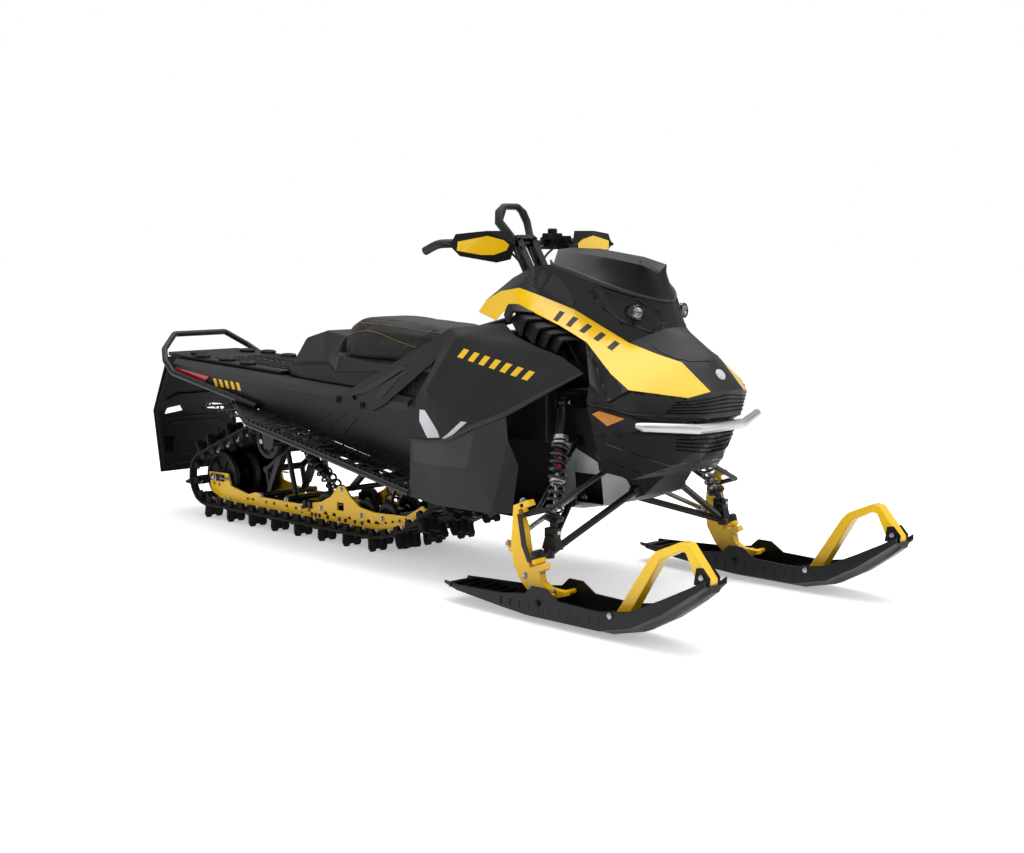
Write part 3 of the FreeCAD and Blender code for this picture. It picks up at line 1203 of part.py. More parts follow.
def make_handlebar():
    """Bar with its two posts, the block they stand in, the column and the strap loop; switch blocks beside."""
    x, z, half = size("barX"), size("barZ"), size("barHalfWidth")
    side = [(x - BAR_HOOK_X, -half, z - 22), (x + BAR_BEND_X, -half + 6, z),
            (x + BAR_SWEEP, -half + 60, z + 2), (x, -90, z)]
    other = [(px, -py, pz) for px, py, pz in reversed(side)]
    parts = [tube_shape(side + other, size("barRadius"), 14)]
    for out in (-size("postHalfApart"), size("postHalfApart")):
        parts.append(Part.makeCylinder(size("postRadius"), size("postLength"), Vec(x, out, z), STEERING_AXIS * -1))
    base = BAR_CENTRE - STEERING_AXIS * size("postLength")
    length, width, height = size("blockLength"), size("blockWidth"), size("blockHeight")
    parts.append(Part.makeBox(length, width, height, base - Vec(length / 2, width / 2, height / 2)))
    parts.append(Part.makeCylinder(size("postRadius"), size("columnLength"), base, STEERING_AXIS * -1))
    strap = [(x - behind, -out, z + over) for behind, out, over in STRAP_POINTS]
    strap += [(px, -py, pz) for px, py, pz in reversed(strap)]
    parts.append(tube_shape(strap, size("strapRadius"), 16))
    finish(shape_piece("handlebar", fuse_shapes(parts)), "handlebar")

    clear = bar_envelope(size("barRadius") + size("seat"))
    controls = []
    for number, (behind, inner, below, length, width, height) in enumerate(CONTROL_BLOCKS):
        block = Part.makeBox(length, width, height, Vec(x - behind, inner, z - below))
        controls.append(shape_piece("control%d" % number, block.cut(clear)))
    compound("bar_controls", controls)


def bar_envelope(radius):
    x, z, half = size("barX"), size("barZ"), size("barHalfWidth")
    runs = [rod_shape((x, -90, z), (x + BAR_SWEEP, -half + 60, z + 2), radius),
            rod_shape((x, 90, z), (x + BAR_SWEEP, half - 60, z + 2), radius),
            rod_shape((x, -98, z), (x, 98, z), radius)]
    for side in (-1, 1):
        inner = (x + BAR_SWEEP + 1, side * (half - 64), z + 2)
        runs.append(rod_shape(inner, (x + BAR_BEND_X, side * (half - 6), z), radius))
    return fuse_shapes(runs)


make_handlebar()

# Right-hand guard: name, (x, distance out, z)
GUARD_CORNERS = {
    "a": (450, 356, 1132), "b": (480, 250, 1142), "c": (486, 150, 1142), "d": (492, 135, 1096),
    "e": (486, 150, 1050), "f": (472, 200, 1040), "g": (452, 340, 1062), "h": (446, 378, 1095),
}
# Stays from the bar to the guard: distance out, x of the guard's inner face there
GUARD_STAYS = [(170, 483), (346, 449)]


def make_hand_guards():
    right = {name: Vec(x, -out, z) for name, (x, out, z) in GUARD_CORNERS.items()}
    rows = split_quads(["b a h", "c b d", "d b f e", "b h g f"])
    normals = vertex_normals(right, rows)
    if normals["d"].x < 0:
        rows = [(a, c, b) for a, b, c in rows]
        normals = vertex_normals(right, rows)
    guard = folded_panel(right, normals, rows, size("panelWall"))
    z = size("barZ")
    stays = [rod_shape((size("barX") + BAR_SWEEP / 2, -out, z), (face_x, -out, z), 6) for out, face_x in GUARD_STAYS]
    guard = fuse_shapes([guard] + stays).cut(bar_envelope(size("barRadius") + size("seat")))
    both_sides("hand_guards", [shape_piece("hand_guard_right", biggest(guard))])


def biggest(shape):
    return max(shape.Solids, key=lambda solid: solid.Volume)


make_hand_guards()

# ---------------------------------------------------------------- check and write

doc.recompute()
for thing in doc.Objects:
    if "Invalid" in thing.State or "Error" in thing.State:
        raise RuntimeError("%s did not build: %s" % (thing.Name, thing.State))
os.makedirs("parts", exist_ok=True)
for piece in finished:
    if piece.Shape.isNull() or not piece.Shape.isValid():
        raise RuntimeError(piece.Label + " has no valid shape")
    piece.Shape.exportStep("parts/%s.step" % piece.Label)
    print("%-18s solids %2d  volume %9.0f" % (piece.Label, len(piece.Shape.Solids), piece.Shape.Volume))
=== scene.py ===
import json
import math

import bmesh
import bpy
from mathutils import Matrix, Vector
from mathutils.bvhtree import BVHTree

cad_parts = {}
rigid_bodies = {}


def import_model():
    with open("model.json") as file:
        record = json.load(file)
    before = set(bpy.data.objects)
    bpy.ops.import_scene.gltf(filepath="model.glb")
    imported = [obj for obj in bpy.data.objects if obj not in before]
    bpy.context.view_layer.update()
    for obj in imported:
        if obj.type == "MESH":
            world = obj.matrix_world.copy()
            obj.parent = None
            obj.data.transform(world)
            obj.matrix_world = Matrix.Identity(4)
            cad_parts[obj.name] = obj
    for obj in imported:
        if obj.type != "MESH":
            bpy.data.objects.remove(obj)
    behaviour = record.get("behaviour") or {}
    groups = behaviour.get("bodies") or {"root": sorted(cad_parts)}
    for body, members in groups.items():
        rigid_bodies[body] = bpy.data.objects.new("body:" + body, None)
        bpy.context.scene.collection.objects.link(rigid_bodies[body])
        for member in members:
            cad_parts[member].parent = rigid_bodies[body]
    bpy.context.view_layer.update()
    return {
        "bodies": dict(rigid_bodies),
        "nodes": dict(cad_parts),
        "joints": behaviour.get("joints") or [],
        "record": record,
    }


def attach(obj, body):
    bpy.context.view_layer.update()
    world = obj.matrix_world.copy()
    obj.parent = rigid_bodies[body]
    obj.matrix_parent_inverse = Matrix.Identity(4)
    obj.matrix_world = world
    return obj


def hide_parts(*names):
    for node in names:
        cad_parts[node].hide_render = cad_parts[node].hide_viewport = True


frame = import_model()
nodes = frame["nodes"]
bodyOf = {node: body for body, members in frame["record"]["behaviour"]["bodies"].items()
          for node in members}
mm = 0.001
forward, across, upward = Vector((1, 0, 0)), Vector((0, 1, 0)), Vector((0, 0, 1))
squareAxes = (forward, across, upward)


def at(x, y, z):
    return Vector((x, y, z)) * mm


def outlineAt(y, corners):
    # (x, z) corners as points at one distance across
    return [at(x, y, z) for x, z in corners]


# Materials

def toLinear(hexColour):
    channels = [int(hexColour[i:i + 2], 16) / 255 for i in (1, 3, 5)]
    return tuple(c / 12.92 if c <= 0.04045 else ((c + 0.055) / 1.055) ** 2.4 for c in channels) + (1.0,)


def addNode(tree, kind, settings=None, links=None):
    node = tree.nodes.new(kind)
    for name, value in (settings or {}).items():
        if name in node.inputs.keys():
            node.inputs[name].default_value = value
        else:
            setattr(node, name, value)
    for name, source in (links or {}).items():
        tree.links.new(source, node.inputs[name])
    return node


def grainedMaterial(name, look):
    # one shader with a fine grain in its bump, and slow drifts of tone and gloss
    material = bpy.data.materials.new(name)
    material.use_nodes = True
    tree = material.node_tree
    tree.nodes.clear()
    place = addNode(tree, "ShaderNodeTexCoord").outputs["Object"]
    stretch = addNode(tree, "ShaderNodeMapping", {"Scale": look.get("stretch", (1, 1, 1))}, {"Vector": place})
    grain = addNode(tree, "ShaderNodeTexNoise",
                    {"Scale": 1 / (look["grainMm"] * mm), "Detail": look.get("grainDetail", 3.0),
                     "Roughness": 0.6},
                    {"Vector": stretch.outputs["Vector"]})
    drift = addNode(tree, "ShaderNodeTexNoise", {"Scale": 1 / (look.get("driftMm", 140) * mm), "Detail": 4.0,
                                                 "Roughness": 0.55}, {"Vector": place})
    tone = addNode(tree, "ShaderNodeValToRGB", {}, {"Fac": drift.outputs["Fac"]})
    tone.color_ramp.elements[0].position, tone.color_ramp.elements[1].position = 0.32, 0.7
    tone.color_ramp.elements[0].color = toLinear(look["colours"][0])
    tone.color_ramp.elements[1].color = toLinear(look["colours"][1])
    low, high = look["roughness"]
    gloss = addNode(tree, "ShaderNodeMapRange", {"From Min": 0.3, "From Max": 0.72, "To Min": low,
                                                 "To Max": high},
                    {"Value": drift.outputs["Fac"]})
    height = grain.outputs["Fac"]
    if look.get("cells"):       # pebbles of a leather-like grain
        pebble = addNode(tree, "ShaderNodeTexVoronoi", {"Scale": 1 / (look["cells"] * mm), "feature": "F1"},
                         {"Vector": place})
        height = addNode(tree, "ShaderNodeMath", {"operation": "ADD"},
                         {0: grain.outputs["Fac"], 1: pebble.outputs["Distance"]}).outputs["Value"]
    bump = addNode(tree, "ShaderNodeBump", {"Strength": look["bump"],
                                            "Distance": look.get("bumpMm", 0.4) * mm},
                   {"Height": height})
    shader = addNode(tree, "ShaderNodeBsdfPrincipled",
                     {"Metallic": look.get("metallic", 0.0), "IOR": look.get("ior", 1.5),
                      "Coat Weight": look.get("coat", 0.0), "Coat Roughness": look.get("coatRoughness", 0.1),
                      "Sheen Weight": look.get("sheen", 0.0), "Transmission Weight": look.get("clear", 0.0),
                      "Specular IOR Level": look.get("specular", 0.5),
                      "Anisotropic": look.get("anisotropic", 0.0)},
                     {"Base Color": tone.outputs["Color"], "Roughness": gloss.outputs["Result"],
                      "Normal": bump.outputs["Normal"]})
    addNode(tree, "ShaderNodeOutputMaterial", {}, {"Surface": shader.outputs["BSDF"]})
    return material


finishLooks = {
    # carbon-black vulcanised rubber: matt, with a coarse moulded skin
    "track_rubber": dict(specular=0.2, colours=("#121212", "#1c1b1a"), roughness=(0.6, 0.78), grainMm=1.6,
                         bump=0.35),
    # moulded polypropylene: a fine spark-eroded grain that spreads the light
    "black_plastic": dict(specular=0.19, colours=("#0d0d0e", "#131314"), roughness=(0.42, 0.54), grainMm=0.9,
                          bump=0.18),
    # moulded body panels, dark grey: satin with broad soft highlights
    "grey_plastic": dict(specular=0.22, colours=("#1a1a1b", "#202021"), roughness=(0.34, 0.44), grainMm=0.9,
                         bump=0.10, driftMm=260),
    # ABS polished in the mould
    "gloss_black_plastic": dict(specular=0.45, colours=("#0c0d0f", "#131417"), roughness=(0.1, 0.16),
                                grainMm=3, bump=0.02, coat=0.3),
    # painted ABS: colour under a clear coat
    "yellow_plastic": dict(specular=0.35, colours=("#f0c00c", "#f8cb14"), roughness=(0.28, 0.36), grainMm=2.2,
                           bump=0.03, coat=0.35, driftMm=300),
    # powder coat on steel and aluminium: slight orange peel
    "yellow_metal": dict(specular=0.4, colours=("#eab708", "#f3c210"), roughness=(0.33, 0.42), grainMm=1.8,
                         bump=0.10, coat=0.15),
    "black_metal": dict(specular=0.3, colours=("#0e0e0f", "#151516"), roughness=(0.32, 0.44), grainMm=1.6,
                        bump=0.10),
    "dark_aluminium": dict(specular=0.26, colours=("#151516", "#1b1b1d"), roughness=(0.32, 0.42), grainMm=1.4,
                           bump=0.06, driftMm=320),
    # die-cast aluminium left bare: dull and slightly pitted
    "cast_aluminium": dict(colours=("#9a9da1", "#b9bcc0"), roughness=(0.42, 0.56), metallic=0.9, grainMm=1.2,
                           bump=0.30),
    # zinc-plated and ground steel
    "bare_steel": dict(colours=("#8d9094", "#b4b7bb"), roughness=(0.22, 0.36), metallic=1.0, grainMm=0.6,
                       bump=0.08, stretch=(1, 8, 1)),
    "silver_metal": dict(colours=("#b4b7ba", "#c9cbce"), roughness=(0.28, 0.36), metallic=0.85, grainMm=1.0,
                         bump=0.06),
    # vinyl-coated seat cover: pebbled, low sheen
    "seat_vinyl": dict(specular=0.18, colours=("#121213", "#181819"), roughness=(0.5, 0.62), grainMm=1.0,
                       cells=2.2, bump=0.30, bumpMm=0.35, sheen=0.1),
    "seat_base_plastic": dict(specular=0.2, colours=("#111112", "#181819"), roughness=(0.42, 0.52),
                              grainMm=1.1, bump=0.16),
    "wheel_rubber": dict(specular=0.35, colours=("#121213", "#1a1a1b"), roughness=(0.5, 0.66), grainMm=1.2,
                         bump=0.15),
    # acrylic lenses
    "red_lens": dict(colours=("#8f0d0b", "#b8140f"), roughness=(0.08, 0.14), grainMm=4, bump=0.02, coat=0.6),
    "orange_lens": dict(colours=("#b8701c", "#cf8428"), roughness=(0.1, 0.16), grainMm=4, bump=0.02,
                        coat=0.6),
    # clear polycarbonate
    "clear_lens": dict(colours=("#e8ecef", "#f6f8fa"), roughness=(0.02, 0.05), grainMm=6, bump=0.01,
                       clear=1.0, ior=1.58),
    "tinted_screen": dict(specular=0.16, colours=("#0b0b0c", "#101011"), roughness=(0.34, 0.42), grainMm=5,
                          bump=0.01, driftMm=320),
    "engine_metal": dict(colours=("#141517", "#202224"), roughness=(0.45, 0.6), metallic=0.2, grainMm=1.4,
                         bump=0.3),
    # ultra-high-molecular-weight polyethylene: waxy
    "ski_plastic": dict(specular=0.24, colours=("#0f0f10", "#161617"), roughness=(0.34, 0.46), grainMm=2.4,
                        bump=0.12),
    "tank_plastic": dict(specular=0.2, colours=("#141517", "#1b1c1f"), roughness=(0.4, 0.52), grainMm=1.2,
                         bump=0.15),
    # extras that have no slot of their own
    "spring steel, black": dict(colours=("#0f0f10", "#1a1a1c"), roughness=(0.25, 0.38), grainMm=2, bump=0.05,
                                coat=0.2),
    "red anodised aluminium": dict(colours=("#a3140f", "#c41c14"), roughness=(0.22, 0.3), metallic=0.8,
                                   grainMm=1, bump=0.04),
    "grip rubber": dict(colours=("#0f0f10", "#171718"), roughness=(0.55, 0.7), grainMm=0.8, bump=0.3),
    "seat stitching thread": dict(colours=("#8a6424", "#a67c32"), roughness=(0.6, 0.7), grainMm=0.5,
                                  bump=0.4),
    "printed film, pale grey": dict(colours=("#b9bcbf", "#cfd1d3"), roughness=(0.3, 0.4), grainMm=2,
                                    bump=0.02),
    "printed film, yellow": dict(colours=("#e6b40c", "#f0c014"), roughness=(0.3, 0.4), grainMm=2, bump=0.02),
    # mid grey: the grey film insets on the cowl and lower panels, and also a painted highlight on the
    # tunnel's top edge
    "printed film, mid grey": dict(specular=0.25, colours=("#252527", "#2b2b2d"), roughness=(0.34, 0.42),
                                   grainMm=2, bump=0.02),
    "chromed reflector": dict(colours=("#d5d8db", "#eceef0"), roughness=(0.05, 0.1), metallic=1.0, grainMm=6,
                              bump=0.02),
    # plain white standing for a lit bulb: painted glow, the material sends out no light
    "lit lamp core": dict(colours=("#f2f5f8", "#ffffff"), roughness=(0.1, 0.2), grainMm=4, bump=0.01),
    "polished black rim": dict(colours=("#0a0a0b", "#101011"), roughness=(0.2, 0.3), grainMm=3, bump=0.03),
    # near-black: real dark seams and joints, and also painted shade in the rail holes, the strut groove and
    # pocket, round the tunnel slashes and behind the grilles
    "dark inlay": dict(colours=("#08080a", "#0d0d0f"), roughness=(0.45, 0.6), grainMm=1, bump=0.1),
}
finishes = {name: grainedMaterial(name.replace("_", " "), look) for name, look in finishLooks.items()}
print("materials made:", len(finishes))


# Mesh tools

def newObject(name, mesh):
    thing = bpy.data.objects.new(name, mesh)
    bpy.context.scene.collection.objects.link(thing)
    return thing


def rawMesh(b, name):
    # what b holds, as a mesh; b is freed
    mesh = bpy.data.meshes.new(name)
    b.to_mesh(mesh)
    b.free()
    return mesh


def frozen(thing):
    # the object with its modifiers worked into a plain mesh
    depsgraph = bpy.context.evaluated_depsgraph_get()
    mesh = bpy.data.meshes.new_from_object(thing.evaluated_get(depsgraph), depsgraph=depsgraph)
    name = thing.name
    bpy.data.objects.remove(thing)
    mesh.name = name
    return newObject(name, mesh)


def smoothed(mesh, degrees=35):
    mesh.shade_smooth()
    mesh.set_sharp_from_angle(angle=math.radians(degrees))


def evened(thing):
    # large faces keep their own normal, so only the eased edges look round
    weigh = thing.modifiers.new("normals", "WEIGHTED_NORMAL")
    weigh.keep_sharp = True
    weigh.weight = 60
    return frozen(thing)


def meshOf(b, name, degrees=35):
    bmesh.ops.recalc_face_normals(b, faces=b.faces)
    mesh = rawMesh(b, name)
    smoothed(mesh, degrees)
    return mesh


def fitOut(thing, slotName, body, standsFor=(), materials=None):
    # finish, body and stand-in of one finished piece
    if materials is not False:
        faces = thing.data.polygons
        order = [0] * len(faces)
        faces.foreach_get("material_index", order)
        thing.data.materials.clear()        # this also forgets which face has which
        for material in materials or (slotName,):
            thing.data.materials.append(finishes[material])
        faces.foreach_set("material_index",
                          [min(index, len(materials or (slotName,)) - 1) for index in order])
    if standsFor:
        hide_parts(*standsFor)
    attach(thing, body)
    return thing


def built(name, b, slotName, body="chassis", standsFor=(), materials=None, degrees=35):
    return fitOut(newObject(name, meshOf(b, name, degrees)), slotName, body, standsFor, materials)


def mergedCopy(node):
    b = bmesh.new()
    b.from_mesh(nodes[node].data)
    bmesh.ops.remove_doubles(b, verts=b.verts, dist=0.02 * mm)
    bmesh.ops.dissolve_degenerate(b, edges=b.edges, dist=0.01 * mm)
    bmesh.ops.dissolve_limit(b, angle_limit=math.radians(1), verts=b.verts, edges=b.edges)
    return b


def rounded(node, widthMm, segments=2, angle=38, smooth=38):
    # the CAD piece with its sharp edges broken
    b = mergedCopy(node)
    mesh = rawMesh(b, node + "_soft")
    thing = newObject(node + "_soft", mesh)
    if widthMm:
        bevel = thing.modifiers.new("edges", "BEVEL")
        bevel.width = widthMm * mm
        bevel.segments = segments
        bevel.limit_method = "ANGLE"
        bevel.angle_limit = math.radians(angle)
        bevel.miter_outer = "MITER_ARC"
        thing = frozen(thing)
    smoothed(thing.data, smooth)
    return evened(thing)


def addTurned(b, profile, start, axis, steps=24, material=0, closed=False):
    # surface of revolution from (distance along, radius) in mm; closed joins the last ring to the first
    axis = axis.normalized()
    side = axis.orthogonal().normalized()
    other = axis.cross(side)
    rings = []
    for along, radius in profile:
        centre = start + axis * along * mm
        if radius <= 0:
            rings.append([b.verts.new(centre)])
            continue
        turn = [2 * math.pi * step / steps for step in range(steps)]
        rings.append([b.verts.new(centre + (side * math.cos(t) + other * math.sin(t)) * radius * mm)
                      for t in turn])
    pairs = list(zip(rings, rings[1:]))
    if closed:
        pairs.append((rings[-1], rings[0]))
    elif len(rings[0]) > 1:
        b.faces.new(rings[0][::-1]).material_index = material
    if not closed and len(rings[-1]) > 1:
        b.faces.new(rings[-1]).material_index = material
    for first, second in pairs:
        for step in range(steps):
            after = (step + 1) % steps
            if len(first) == 1 and len(second) == 1:
                continue
            if len(first) == 1:
                corners = [first[0], second[step], second[after]]
            elif len(second) == 1:
                corners = [first[step], second[0], first[after]]
            else:
                corners = [first[step], second[step], second[after], first[after]]
            b.faces.new(corners).material_index = material


def addBolt(b, place, axis, radius=6, material=0):
    # washer with a hexagon head and the end of its socket
    addTurned(b, [(-1, radius * 1.55), (1, radius * 1.55), (1.4, radius * 1.4)], place, axis, 20, material)
    addTurned(b, [(1, radius), (radius * 0.85, radius), (radius, radius * 0.82)], place, axis, 6, material)


def addPrism(b, outline, normal, thickMm, material=0):
    # flat plate of 3-D points, given a thickness both ways along a direction
    shift = normal.normalized() * thickMm * mm / 2
    low = [b.verts.new(point - shift) for point in outline]
    high = [b.verts.new(point + shift) for point in outline]
    b.faces.new(low[::-1]).material_index = material
    b.faces.new(high).material_index = material
    for index in range(len(outline)):
        after = (index + 1) % len(outline)
        b.faces.new([low[index], low[after], high[after], high[index]]).material_index = material


def addBlock(b, centre, axes, sizesMm, material=0, taper=1.0):
    # block of three sizes along three axes; the taper narrows its far face along the third
    x, y, z = [axis.normalized() * size * mm / 2 for axis, size in zip(axes, sizesMm)]
    low = [b.verts.new(centre + x * i + y * j - z) for i, j in ((-1, -1), (1, -1), (1, 1), (-1, 1))]
    high = [b.verts.new(centre + (x * i + y * j) * taper + z) for i,
            j in ((-1, -1), (1, -1), (1, 1), (-1, 1))]
    b.faces.new(low[::-1]).material_index = material
    b.faces.new(high).material_index = material
    for i in range(4):
        j = (i + 1) % 4
        b.faces.new([low[i], low[j], high[j], high[i]]).material_index = material


def addRings(b, rings):
    # skin over rings with the same number of corners, closed at both ends
    count = len(rings[0])
    for first, second in zip(rings, rings[1:]):
        for i in range(count):
            j = (i + 1) % count
            b.faces.new([first[i], first[j], second[j], second[i]])
    b.faces.new(rings[0][::-1])
    b.faces.new(rings[-1])


def smoothLine(points, every=6):
    # points along a soft curve through the given ones
    line = []
    for i in range(len(points) - 1):
        before = points[i - 1] if i else points[i] * 2 - points[i + 1]
        after = points[i + 2] if i + 2 < len(points) else points[i + 1] * 2 - points[i]
        for step in range(every):
            t = step / every
            line.append(0.5 * (2 * points[i] + (points[i + 1] - before) * t
                               + (2 * before - 5 * points[i] + 4 * points[i + 1] - after) * t * t
                               + (3 * points[i] - before - 3 * points[i + 1] + after) * t ** 3))
    return line + [points[-1]]


def addTube(b, points, radiusMm, steps=10, material=0, flat=1.0):
    # round or flattened bar along a line; radiusMm may be a list, one for each point
    radii = radiusMm if isinstance(radiusMm, list) else [radiusMm] * len(points)
    heading = (points[1] - points[0]).normalized()
    side = heading.orthogonal().normalized()
    rings = []
    for index, point in enumerate(points):
        ahead = points[min(index + 1, len(points) - 1)] - points[max(index - 1, 0)]
        ahead.normalize()
        side = (side - ahead * side.dot(ahead)).normalized()
        other = ahead.cross(side)
        turn = [2 * math.pi * step / steps for step in range(steps)]
        spokes = [side * math.cos(t) + other * math.sin(t) * flat for t in turn]
        rings.append([b.verts.new(point + spoke * radii[index] * mm) for spoke in spokes])
    b.faces.new(rings[0][::-1]).material_index = material
    b.faces.new(rings[-1]).material_index = material
    for first, second in zip(rings, rings[1:]):
        for step in range(steps):
            after = (step + 1) % steps
            b.faces.new([first[step], first[after], second[after], second[step]]).material_index = material


def mirroredInto(b, makeRight):
    # what makeRight adds on the right-hand side, and its mirror image on the left
    half = bmesh.new()
    makeRight(half)
    mesh = rawMesh(half, "half")
    b.from_mesh(mesh)
    mesh.transform(Matrix.Scale(-1, 4, across))
    mesh.flip_normals()
    b.from_mesh(mesh)
    bpy.data.meshes.remove(mesh)


# Geometry Nodes

def openTree(name, sockets):
    tree = bpy.data.node_groups.new(name, "GeometryNodeTree")
    tree.interface.new_socket("Geometry", in_out="INPUT", socket_type="NodeSocketGeometry")
    for label, kind, value in sockets:
        socket = tree.interface.new_socket(label, in_out="INPUT", socket_type=kind)
        if value is not None:
            socket.default_value = value
    tree.interface.new_socket("Geometry", in_out="OUTPUT", socket_type="NodeSocketGeometry")
    return tree, addNode(tree, "NodeGroupInput").outputs


def closeTree(tree, geometry, material):
    real = addNode(tree, "GeometryNodeRealizeInstances", {}, {"Geometry": geometry})
    coloured = addNode(tree, "GeometryNodeSetMaterial", {},
                       {"Geometry": real.outputs["Geometry"], "Material": material})
    addNode(tree, "NodeGroupOutput", {}, {"Geometry": coloured.outputs["Geometry"]})
    return tree


def makeRowTree():
    # one piece set at even steps along a curve, with its Y along a chosen side
    tree, given = openTree("piecesInARow", [("Count", "NodeSocketInt", 10),
                                            ("Piece", "NodeSocketObject", None),
                                            ("Side", "NodeSocketVector", (0, 1, 0)),
                                            ("Every", "NodeSocketInt", 1), ("First", "NodeSocketInt", 0),
                                            ("Material", "NodeSocketMaterial", None)])
    steps = addNode(tree, "GeometryNodeResampleCurve", {"mode": "COUNT"},
                    {"Curve": given["Geometry"], "Count": given["Count"]})
    heading = addNode(tree, "GeometryNodeInputTangent")
    turn = addNode(tree, "FunctionNodeAxesToRotation", {"primary_axis": "X", "secondary_axis": "Y"},
                   {"Primary Axis": heading.outputs["Tangent"], "Secondary Axis": given["Side"]})
    number = addNode(tree, "GeometryNodeInputIndex")
    share = addNode(tree, "ShaderNodeMath", {"operation": "MODULO"},
                    {0: number.outputs["Index"], 1: given["Every"]})
    chosen = addNode(tree, "FunctionNodeCompare", {"data_type": "INT", "operation": "EQUAL"},
                     {2: share.outputs["Value"], 3: given["First"]})
    piece = addNode(tree, "GeometryNodeObjectInfo", {}, {"Object": given["Piece"]})
    row = addNode(tree, "GeometryNodeInstanceOnPoints", {},
                  {"Points": steps.outputs["Curve"], "Selection": chosen.outputs["Result"],
                   "Instance": piece.outputs["Geometry"], "Rotation": turn.outputs["Rotation"]})
    return closeTree(tree, row.outputs["Instances"], given["Material"])


def makeCoilTree():
    # wire wound round the Z axis, with closed flat ends
    tree, given = openTree("springCoil", [("Turns", "NodeSocketFloat", 8.0),
                                          ("Radius", "NodeSocketFloat", 0.03),
                                          ("Height", "NodeSocketFloat", 0.2),
                                          ("Wire", "NodeSocketFloat", 0.004),
                                          ("Material", "NodeSocketMaterial", None)])
    spiral = addNode(tree, "GeometryNodeCurveSpiral", {"Resolution": 20},
                     {"Rotations": given["Turns"], "Start Radius": given["Radius"],
                      "End Radius": given["Radius"], "Height": given["Height"]})
    ring = addNode(tree, "GeometryNodeCurvePrimitiveCircle", {"Resolution": 8}, {"Radius": given["Wire"]})
    wire = addNode(tree, "GeometryNodeCurveToMesh", {"Fill Caps": True},
                   {"Curve": spiral.outputs["Curve"], "Profile Curve": ring.outputs["Curve"]})
    return closeTree(tree, wire.outputs["Mesh"], given["Material"])


rowTree, coilTree = makeRowTree(), makeCoilTree()


def grown(name, source, tree, values):
    # the tree's result on a source object, as a plain mesh; the source goes
    modifier = source.modifiers.new("grow", "NODES")
    modifier.node_group = tree
    sockets = {item.name: item.identifier for item in tree.interface.items_tree
               if item.item_type == "SOCKET" and item.in_out == "INPUT"}
    for label, value in values.items():
        modifier[sockets[label]] = value
    depsgraph = bpy.context.evaluated_depsgraph_get()
    mesh = bpy.data.meshes.new_from_object(source.evaluated_get(depsgraph), depsgraph=depsgraph)
    bpy.data.objects.remove(source)
    mesh.name = name
    return mesh


def curveThrough(points, closed=False):
    curve = bpy.data.curves.new("path", "CURVE")
    curve.dimensions = "3D"
    line = curve.splines.new("POLY")
    line.points.add(len(points) - 1)
    for spot, point in zip(line.points, points):
        spot.co = (*point, 1)
    line.use_cyclic_u = closed
    return newObject("path", curve)


def rowOf(name, points, pieceMesh, count, material, closed=False, side=(0, 1, 0), every=1, first=0):
    piece = newObject("rowPiece", pieceMesh)
    mesh = grown(name, curveThrough(points, closed), rowTree,
                 {"Count": count, "Piece": piece, "Side": side, "Every": every, "First": first,
                  "Material": finishes[material]})
    bpy.data.objects.remove(piece)
    return mesh


def coil(name, bottom, top, radiusMm, wireMm, turns, material):
    axis = top - bottom
    source = newObject("coilSource", bpy.data.meshes.new("empty"))
    mesh = grown(name, source, coilTree, {"Turns": float(turns), "Radius": radiusMm * mm,
                                          "Height": axis.length,
                                          "Wire": wireMm * mm, "Material": finishes[material]})
    turn = upward.rotation_difference(axis.normalized()).to_matrix().to_4x4()
    mesh.transform(Matrix.Translation(bottom) @ turn)
    return mesh


def gathered(name, meshes, slotName, body, standsFor=(), materials=None, degrees=40):
    # several plain meshes of one finish as one piece
    b = bmesh.new()
    for mesh in meshes:
        b.from_mesh(mesh)
        bpy.data.meshes.remove(mesh)
    return built(name, b, slotName, body, standsFor, materials, degrees)


# Track: belt, cross bars, lugs, guide teeth and clips

track = {
    # x, z and inner radius where the loop turns
    "wheels": [(-1222, 159.8, 101), (-220, 506.8, 448), (267.4, 402, 88.4), (-868, 338, 70.5)],
    "thick": 8, "halfWidth": 190.5, "rows": 51, "windowIn": 98, "windowOut": 158, "barLength": 34,
    "lugHeight": 50.8, "toothHeight": 24, "clipHeight": 20,
}


def beltLine(out, samples):
    # evenly spaced points round the loop, as (x, z) in mm
    wheels = track["wheels"]
    headings = []
    for (x1, z1, r1), (x2, z2, r2) in zip(wheels, wheels[1:] + wheels[:1]):
        reach = math.hypot(x2 - x1, z2 - z1)
        heading = math.atan2(z2 - z1, x2 - x1) + math.asin((r1 - r2) / reach)
        headings.append(heading % (2 * math.pi) if headings else heading)
    dense = []
    for index, (x, z, radius) in enumerate(wheels):
        arriving, leaving = headings[index - 1], headings[index]
        if leaving < arriving:
            leaving += 2 * math.pi
        count = 60
        for step in range(count + 1):
            turn = arriving + (leaving - arriving) * step / count
            dense.append((x + (radius + out) * math.sin(turn), z - (radius + out) * math.cos(turn)))
    spans = [math.dist(p, q) for p, q in zip(dense, dense[1:] + dense[:1])]
    total = sum(spans)
    line, index, used = [], 0, 0.0
    for number in range(samples):
        travel = total * number / samples
        while used + spans[index] < travel:
            used += spans[index]
            index += 1
        share = (travel - used) / spans[index]
        p, q = dense[index], dense[(index + 1) % len(dense)]
        line.append((p[0] + (q[0] - p[0]) * share, p[1] + (q[1] - p[1]) * share))
    return line


def addBand(b, outerLine, innerLine, low, high):
    rings = [[b.verts.new(at(x1, low, z1)), b.verts.new(at(x1, high, z1)),
              b.verts.new(at(x2, high, z2)), b.verts.new(at(x2, low, z2))]
             for (x1, z1), (x2, z2) in zip(outerLine, innerLine)]
    for index, ring in enumerate(rings):
        following = rings[(index + 1) % len(rings)]
        for i in range(4):
            j = (i + 1) % 4
            b.faces.new([ring[i], ring[j], following[j], following[i]])


